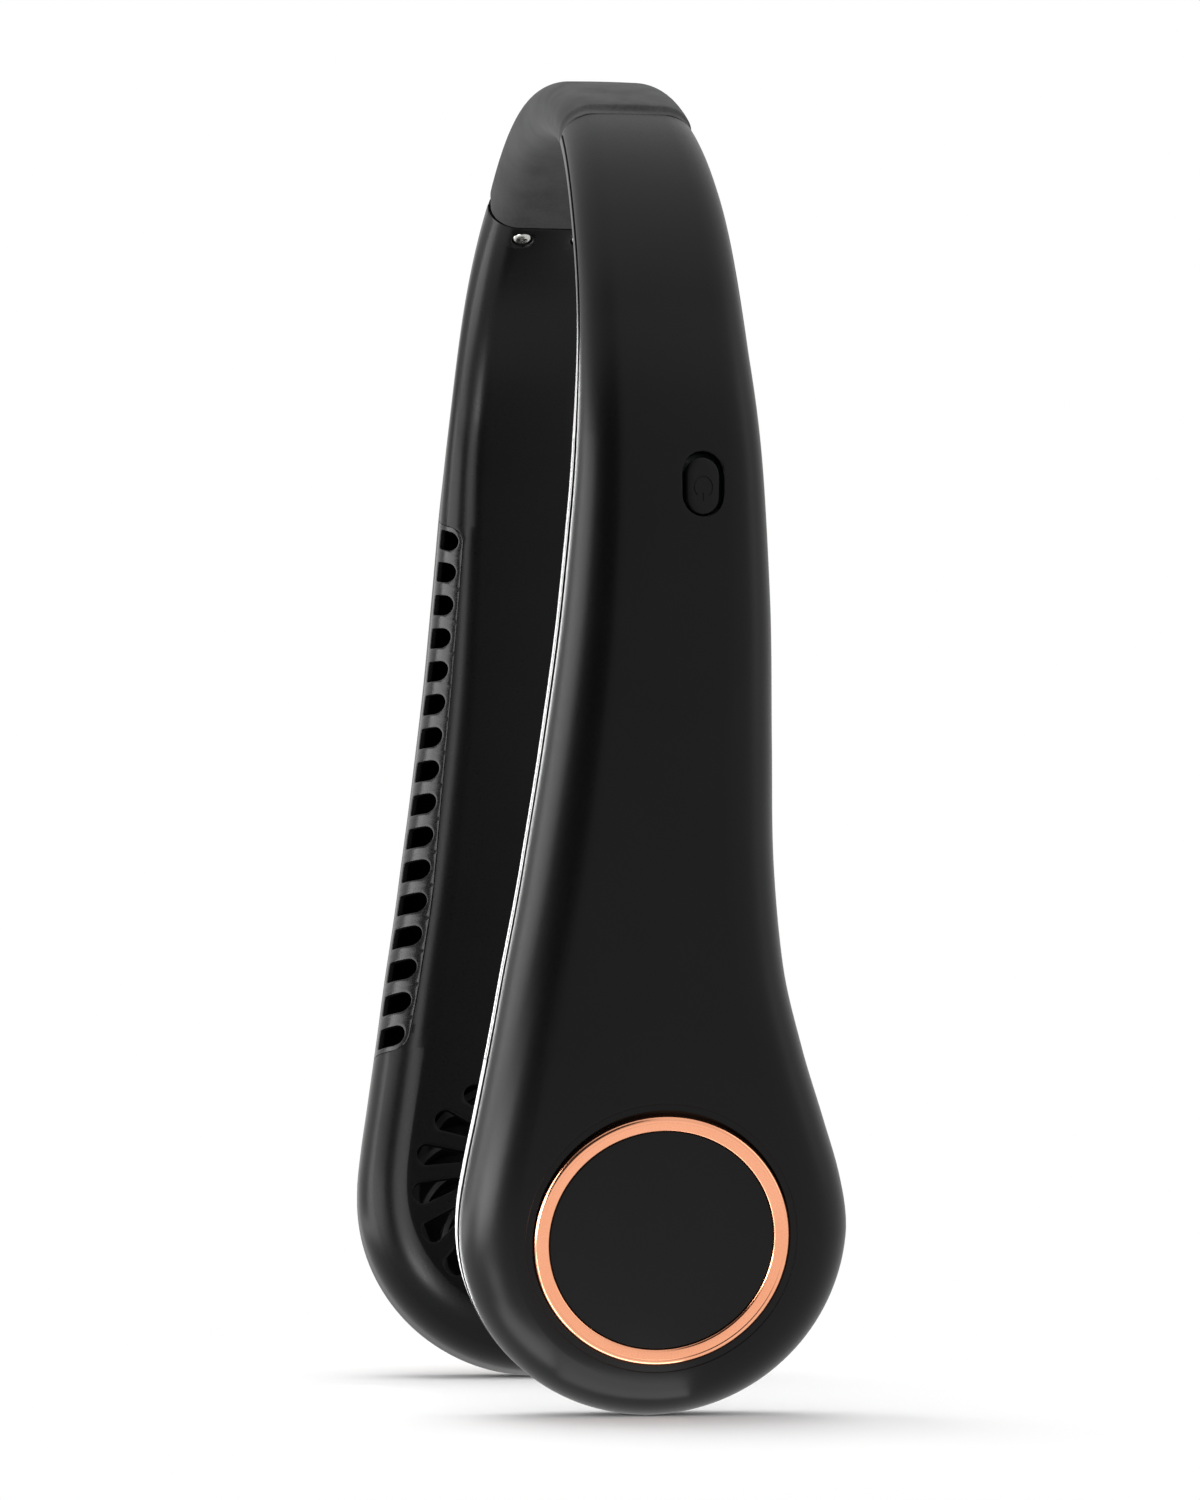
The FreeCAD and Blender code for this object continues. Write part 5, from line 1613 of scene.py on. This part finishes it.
@dataclass(frozen=True)
class Finish:
    """A material: what it is, how it was made, and how that looks."""

    name: str
    colour: str
    shade: str
    roughness: float
    spread: float
    grain_mm: float
    relief: float
    metallic: float = 0.0
    specular: float = 0.5
    grain: Grain = Grain.SPARK
    patch_mm: float = 14.0

    def material(self) -> bpy.types.Material:
        """Build the node material, once.

        Returns:
            The material.
        """
        made = bpy.data.materials.get(self.name)
        if made:
            return made
        made = bpy.data.materials.new(self.name)
        tree = cleared(made)
        spot = add_node(tree, "ShaderNodeTexCoord").outputs["Object"]
        if self.grain is Grain.BRUSHED:
            brush = {"Vector": spot, "Scale": BRUSH_SHARES}
            spot = add_node(tree, "ShaderNodeMapping", brush).outputs["Vector"]
        specks = {"Scale": 1 / (self.grain_mm * MM), "Detail": SPECK_DETAIL, "Roughness": SPECK_ROUGHNESS}
        patches = {"Scale": 1 / (self.patch_mm * MM), "Detail": PATCH_DETAIL}
        fine = add_node(tree, "ShaderNodeTexNoise", {"Vector": spot} | specks).outputs["Fac"]
        wide = add_node(tree, "ShaderNodeTexNoise", {"Vector": spot} | patches).outputs["Fac"]
        tone = ranged(tree, wide, PATCH_RANGE, (0.0, PATCH_SHARE))
        speck = ranged(tree, fine, SPECK_RANGE, (0.0, SPECK_SHARE))
        colour = blended(tree, maths(tree, "ADD", tone, speck, clamp=True), self.colour, self.shade)
        ends = (self.roughness - self.spread, self.roughness + self.spread)
        relief = {"Height": fine, "Strength": self.relief, "Distance": self.grain_mm * MM * RELIEF_SHARE}
        shader = add_node(
            tree,
            "ShaderNodeBsdfPrincipled",
            {
                "Base Color": colour,
                "Roughness": ranged(tree, fine, PATCH_RANGE, ends),
                "Normal": add_node(tree, "ShaderNodeBump", relief).outputs["Normal"],
                "Metallic": self.metallic,
                "Specular IOR Level": self.specular,
            },
        )
        add_node(tree, "ShaderNodeOutputMaterial", {"Surface": shader.outputs["BSDF"]})
        return made

    def dress(self, piece: Piece, inside: "Finish | None" = None) -> None:
        """Give a piece this finish.

        Args:
            piece: The piece.
            inside: A second finish, for the walls that a skin gets later; the shells and strip give the one
                that paints the shade in their openings and seams.
        """
        piece.data.materials.clear()
        piece.data.materials.append(self.material())
        if inside:
            piece.data.materials.append(inside.material())


# ABS moulded in a finely sparked tool: satin black, a soft broad sheen and a grain that only shows close up.
SHELL = Finish("satin_black_abs", "#080809", "#0d0d0e", 0.36, 0.04, 0.35, 0.1, specular=0.2)
# The same ABS, polished a little more on the side towards the neck.
INNER_SHELL = Finish("polished_black_abs", "#080809", "#0d0d0e", 0.3, 0.03, 0.35, 0.05, specular=0.17)
# Walls inside the shells and their openings: dull raw moulding, and a darker colour that paints the shade
# inside the openings and along the seams, so that they read as black.
SHADE_WALL = Finish("painted_shade_wall", "#060606", "#0a0a0a", 0.7, 0.06, 0.5, 0.1, specular=0.08)
# The same ABS from a finer tool: the slotted strip is a shade lighter along its edge.
VENT = Finish("slotted_strip_abs", "#0a0a0b", "#0f0f10", 0.27, 0.04, 0.35, 0.1, specular=0.32)
# Thermoplastic rubber, moulded with a dry grain: dark grey, no clear reflection.
RUBBER = Finish(
    "grained_sleeve_rubber", "#303031", "#4d4d4e", 0.78, 0.08, 0.5, 0.5, specular=0.3, patch_mm=6.0
)
# Rose gold plating on a turned ring: polished, with a very faint grain.
PLATING = Finish("rose_gold_plating", "#fdb48f", "#f6a57c", 0.18, 0.03, 0.25, 0.03, metallic=1.0)
# ABS with a finer satin than the shell: the cap reads as a flat black disc.
CAP = Finish("fine_satin_cap_abs", "#0a0a0b", "#0f0f10", 0.4, 0.04, 0.3, 0.1, specular=0.2)
# Bright nickel on steel: small mirror-like heads.
NICKEL = Finish("bright_nickel_steel", "#c9c8c4", "#b4b3af", 0.22, 0.05, 0.3, 0.05, metallic=1.0)
# ABS like the shell, polished a little by fingers.
BUTTON_ABS = Finish("button_abs", "#0a0a0b", "#0f0f10", 0.32, 0.04, 0.3, 0.1, specular=0.2)
# Cold-rolled spring strip: grey steel with a long grain.
SPRING_STEEL = Finish(
    "rolled_spring_steel", "#8d8f94", "#777a80", 0.35, 0.08, 0.5, 0.1, metallic=1.0, grain=Grain.BRUSHED
)
# Soft PVC jacket of a thin lead.
JACKET = Finish("cable_jacket_pvc", "#202020", "#2a2a2a", 0.5, 0.05, 0.4, 0.1)
# Plain moulded nylon and ABS of the parts inside, with the dull skin of an unpolished tool.
INNER = Finish("plain_inner_abs", "#101011", "#161617", 0.6, 0.06, 0.6, 0.15, specular=0.12)
NYLON = Finish("anchor_nylon", "#3a3a3b", "#464647", 0.5, 0.06, 0.6, 0.15)
# Glass-filled impeller plastic: black and dull, with a faint mottle; its colour is darker still, painting the
# shade inside the grille's openings.
IMPELLER = Finish("impeller_plastic", "#050505", "#080808", 0.6, 0.06, 0.5, 0.12, specular=0.05)
# Sintered bronze bearing: dull yellow-brown metal with open pores.
BRONZE = Finish("sintered_bronze", "#a9814f", "#8a6639", 0.45, 0.08, 0.3, 0.3, metallic=1.0)
# Enamelled copper windings.
COPPER = Finish("enamelled_copper_wire", "#b4653a", "#8e4a27", 0.32, 0.08, 0.4, 0.35, metallic=1.0)
# Shrink-wrapped cell: smooth film over a can.
CELL = Finish("cell_shrink_film", "#5a6b86", "#4c5c75", 0.3, 0.05, 0.8, 0.06)
# Drawn and plated steel: rotor cup, shafts, charging socket.
STEEL = Finish("drawn_plated_steel", "#a3a4a7", "#8e8f93", 0.3, 0.06, 0.4, 0.08, metallic=1.0)
# Glass-epoxy board with green solder mask.
BOARD = Finish("green_board_laminate", "#1f4a33", "#183c29", 0.35, 0.06, 0.6, 0.1)
# Switch case of black phenolic plastic.
SWITCH = Finish("switch_case_plastic", "#1c1c1c", "#262626", 0.5, 0.05, 0.4, 0.1)

# Finish of each slot whose pieces are dressed when they are fitted.
SLOT_FINISHES = {
    "sleeve_rubber": RUBBER,
    "spring_steel": SPRING_STEEL,
    "cable_jacket": JACKET,
    "screw_steel": NICKEL,
    "ring_plating": PLATING,
    "cap_plastic": CAP,
    "button_plastic": BUTTON_ABS,
}

# Finish of each CAD node that stays, by its name without its side.
NODE_FINISHES = {
    "duct_wall": INNER,
    "band_anchor": NYLON,
    "motor_mount": INNER,
    "bearing": BRONZE,
    "stator": COPPER,
    "battery": CELL,
    "rotor_cup": STEEL,
    "motor_shaft": STEEL,
    "impeller": IMPELLER,
    "tact_switch": SWITCH,
    "switch_plunger": SWITCH,
    "control_board": BOARD,
    "usb_socket": STEEL,
}


def fit(piece: Piece, body: str, node: str, slot: str) -> None:
    """Let a finished piece stand for a CAD node on its body, in that node's finish.

    Args:
        piece: The finished piece.
        body: Body that it moves with, or an empty word, where it is left on no body.
        node: The CAD node that it replaces.
        slot: The record's material slot.
    """
    if not piece.data.materials:
        SLOT_FINISHES[slot].dress(piece)
    if body:
        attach(piece, body)
    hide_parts(node)
    LOG.info("%s stands for %s, %d faces", piece.name, node, len(piece.data.polygons))


def build_arm(arm: Arm) -> None:
    """Build one arm's shells, strip, ring, cap and screws."""
    shells = ArmShells(arm)
    pod = PodFace(arm)
    for piece, node, slot in (
        (shells.outer_shell(), "outer_shell", "shell_plastic"),
        (shells.inner_shell(), "inner_shell", "shell_plastic"),
        (shells.vent_strip(), "vent_strip", "vent_plastic"),
        (pod.ring(), "trim_ring", "ring_plating"),
        (pod.cap(), "cap_disc", "cap_plastic"),
        (ShellScrews(arm).build(), "shell_screws", "screw_steel"),
    ):
        fit(piece, arm.body, f"{arm.label}_{node}", slot)


def build_band(arm: Arm) -> None:
    """Build one half of the neck band and bake its pieces' places into their meshes."""
    band = NeckBand(arm)
    for piece, node, slot in (
        (band.sleeve(), "neck_sleeve", "sleeve_rubber"),
        (band.spring(), "spring_strip", "spring_steel"),
        (band.cable(), "link_cable", "cable_jacket"),
    ):
        band.bend(piece)
        fit(piece, "", node, slot)


def dress_nodes() -> None:
    """Give every CAD node that still shows its finish."""
    for name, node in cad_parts.items():
        finish = NODE_FINISHES.get(name.removeprefix("left_").removeprefix("right_"))
        if finish:
            finish.dress(node)
            LOG.info("%s in %s", name, finish.name)


# Watts per square metre of a lamp's face at a glow of 1.
GLOW_POWER = 4.0


class LampUse(Enum):
    """What a lamp is for."""

    LIGHT = "light"
    CARD = "card"


@dataclass(frozen=True)
class Lamp:
    """A soft box that lights the object, or a bright card that only shows in its sheen.

    Places and sizes are in metres. A glow of 1 is as bright as white paper in full light.
    """

    name: str
    use: LampUse
    place: tuple[float, float, float]
    aim: tuple[float, float, float]
    size: tuple[float, float]
    glow: float

    def hang(self) -> None:
        """Hang the lamp and turn it to what it faces."""
        deselect()
        bpy.ops.object.light_add(type="AREA", location=self.place)
        lamp = bpy.context.object
        lamp.name = self.name
        lamp.data.shape = "RECTANGLE"
        lamp.data.size, lamp.data.size_y = self.size
        lamp.data.energy = self.glow * GLOW_POWER * self.size[0] * self.size[1]
        lamp.visible_camera = False
        lamp.visible_diffuse = self.use is LampUse.LIGHT
        lamp.visible_glossy = self.use is LampUse.CARD
        way = Vector(self.aim) - Vector(self.place)
        lamp.rotation_euler = way.to_track_quat("-Z", "Y").to_euler()


MIDDLE = (0.0, 0.0, 0.1)
# Soft light from above, a long card at the left for the broad sheen, small cards near the arms for the thin
# lines along their edges, and cards on the floor for the sheen of what looks down.
LAMPS = (
    Lamp("top_light", LampUse.LIGHT, (-0.3, -0.1, 1.1), MIDDLE, (0.9, 0.9), 1.9),
    Lamp("left_card", LampUse.CARD, (-0.08, -1.0, 0.22), MIDDLE, (0.85, 0.56), 4.5),
    Lamp("rim_card", LampUse.CARD, (-0.03, -0.0435, 0.085), (0.07, -0.0435, 0.085), (0.025, 0.18), 5.5),
    Lamp("far_card_0", LampUse.CARD, (-0.15, -0.27, 0.003), (-0.15, -0.27, 0.013), (0.2, 0.2), 4.0),
    Lamp("far_card_1", LampUse.CARD, (-0.08, -0.54, 0.003), (-0.08, -0.54, 0.013), (0.34, 0.34), 4.0),
    Lamp("gap_card", LampUse.CARD, (0.03, -0.076, 0.1), (-0.07, -0.076, 0.1), (0.04, 0.2), 5.0),
    Lamp("low_left_card", LampUse.CARD, (0.091, -0.105, 0.016), (0.07, -0.025, 0.028), (0.06, 0.04), 9.0),
    Lamp("foot_card_0", LampUse.CARD, (0.068, -0.005, 0.001), (0.068, -0.005, 0.011), (0.01, 0.022), 2.0),
    Lamp("foot_card_1", LampUse.CARD, (0.07, -0.028, 0.001), (0.07, -0.028, 0.011), (0.01, 0.022), 3.6),
    Lamp("foot_card_2", LampUse.CARD, (0.079, -0.05, 0.001), (0.079, -0.05, 0.011), (0.01, 0.022), 4.5),
    Lamp("right_card", LampUse.CARD, (0.3, 1.0, 0.4), MIDDLE, (0.3, 1.1), 0.9),
)


@dataclass
class Studio:
    """Pale floor, white surroundings, soft lights and the photograph's viewpoint."""

    floor_size: float = 6.0
    paper: tuple[str, str] = ("#f4f4f4", "#b4b4b4")
    paper_grain: float = 400.0
    paper_roughness: tuple[float, float] = (0.85, 0.95)
    paper_specular: float = 0.1
    shadow_reach: float = 0.045
    shadow_shape: tuple[float, float, float] = (0.4, 1.0, 1.0)
    ambient: float = 0.9
    front: tuple[float, float] = (0.02, 0.85)
    front_floor: tuple[float, float] = (0.1, 0.2)
    side_floor: tuple[float, float] = (-0.08, 0.04)
    side_sky: tuple[float, float] = (-0.15, 0.12)
    back_way: tuple[float, float] = (-0.6, 0.8)
    back_sky: tuple[float, float] = (0.22, 0.6)
    camera_place: tuple[float, float, float] = (982.04, -155.53, 54.36)
    camera_turn: float = 9.116
    camera_pitch: float = 2.726
    lens: float = 150.69
    sensor: float = 36.0
    clip: float = 0.01

    def floor(self) -> None:
        """Lay a white floor that keeps the object's shadow."""
        deselect()
        bpy.ops.mesh.primitive_plane_add(size=self.floor_size)
        floor = bpy.context.object
        floor.name = "studio_floor"
        made = bpy.data.materials.new("white_paper_floor")
        tree = cleared(made)
        path = add_node(tree, "ShaderNodeLightPath").outputs
        mirrored = maths(tree, "MAXIMUM", path["Is Glossy Ray"], path["Is Transmission Ray"])
        spot = add_node(tree, "ShaderNodeTexCoord").outputs["Object"]
        noise = {"Vector": spot, "Scale": self.paper_grain}
        grain = add_node(tree, "ShaderNodeTexNoise", noise).outputs["Fac"]
        paper = {
            "Base Color": blended(tree, path["Is Diffuse Ray"], *self.paper),
            "Roughness": ranged(tree, grain, (0.0, 1.0), self.paper_roughness),
            "Specular IOR Level": self.paper_specular,
        }
        paper = add_node(tree, "ShaderNodeBsdfPrincipled", paper).outputs["BSDF"]
        # White for the eye outside the shadow's oval, and for sheen and clear parts everywhere.
        white = {"Strength": 1.0, "Color": (1, 1, 1, 1)}
        white = add_node(tree, "ShaderNodeEmission", white).outputs["Emission"]
        oval = {0: spot, 1: self.shadow_shape}
        oval = add_node(tree, "ShaderNodeVectorMath", oval, operation="MULTIPLY").outputs["Vector"]
        away = add_node(tree, "ShaderNodeVectorMath", {0: oval}, operation="LENGTH").outputs["Value"]
        fade = (self.shadow_reach, self.shadow_reach * 2)
        clear = eased(tree, away, fade)
        share = maths(tree, "MULTIPLY", clear, path["Is Camera Ray"])
        share = maths(tree, "MAXIMUM", share, mirrored)
        shader = add_node(tree, "ShaderNodeMixShader", {0: share, 1: paper, 2: white}).outputs["Shader"]
        # Dim for sheen in front of the object, from dark at the left to pale at the right.
        place = add_node(tree, "ShaderNodeSeparateXYZ", {"Vector": spot}).outputs
        front = eased(tree, place["X"], self.front_floor)
        level = eased(tree, place["Y"], self.side_floor, self.front)
        dim = add_node(tree, "ShaderNodeEmission", {"Strength": level}).outputs["Emission"]
        share = maths(tree, "MULTIPLY", front, mirrored)
        shader = add_node(tree, "ShaderNodeMixShader", {0: share, 1: shader, 2: dim}).outputs["Shader"]
        add_node(tree, "ShaderNodeOutputMaterial", {"Surface": shader})
        floor.data.materials.append(made)

    def world(self) -> None:
        """Show white to the eye and a graded sky to sheen, and light the object with a plainer level."""
        world = bpy.data.worlds.new("white_studio")
        bpy.context.scene.world = world
        tree = cleared(world)
        path = add_node(tree, "ShaderNodeLightPath").outputs
        mirrored = maths(tree, "MAXIMUM", path["Is Glossy Ray"], path["Is Transmission Ray"])
        aim = add_node(tree, "ShaderNodeTexCoord").outputs["Generated"]
        way = add_node(tree, "ShaderNodeSeparateXYZ", {"Vector": aim}).outputs
        level = eased(tree, way["Y"], self.side_sky, self.front)
        back = maths(tree, "MULTIPLY", way["X"], self.back_way[0])
        back = maths(tree, "MULTIPLY_ADD", way["Z"], self.back_way[1], back)
        back = eased(tree, back, self.back_sky)
        level = blended(tree, mirrored, self.ambient, blended(tree, back, level, 1.0))
        level = blended(tree, path["Is Camera Ray"], level, 1.0)
        sky = add_node(tree, "ShaderNodeBackground", {"Color": (1, 1, 1, 1), "Strength": level})
        add_node(tree, "ShaderNodeOutputWorld", {"Surface": sky.outputs["Background"]})

    def camera(self) -> None:
        """Stand the camera where the photograph was taken."""
        turn, pitch = math.radians(self.camera_turn), math.radians(self.camera_pitch)
        level = math.cos(pitch)
        ahead = Vector((-math.cos(turn) * level, math.sin(turn) * level, math.sin(pitch)))
        deselect()
        bpy.ops.object.camera_add(location=Vector(self.camera_place) * MM)
        camera = bpy.context.object
        camera.rotation_euler = ahead.to_track_quat("-Z", "Y").to_euler()
        camera.data.lens = self.lens
        camera.data.sensor_width = self.sensor
        camera.data.sensor_fit = "AUTO"
        camera.data.clip_start = self.clip
        bpy.context.scene.camera = camera

    def build(self) -> None:
        """Set up floor, surroundings, lights and camera."""
        self.floor()
        self.world()
        for lamp in LAMPS:
            lamp.hang()
        self.camera()
        bpy.context.scene.view_settings.view_transform = "Standard"


def main() -> None:
    """Build the neck fan's looks on its frame, then the studio round it."""
    logging.basicConfig(level=logging.INFO, format="%(message)s")
    for arm in Arm:
        build_arm(arm)
        build_band(arm)
    fit(ButtonCap().build(), "power_button", "power_button", "button_plastic")
    dress_nodes()
    Studio().build()


if __name__ == "__main__":
    main()
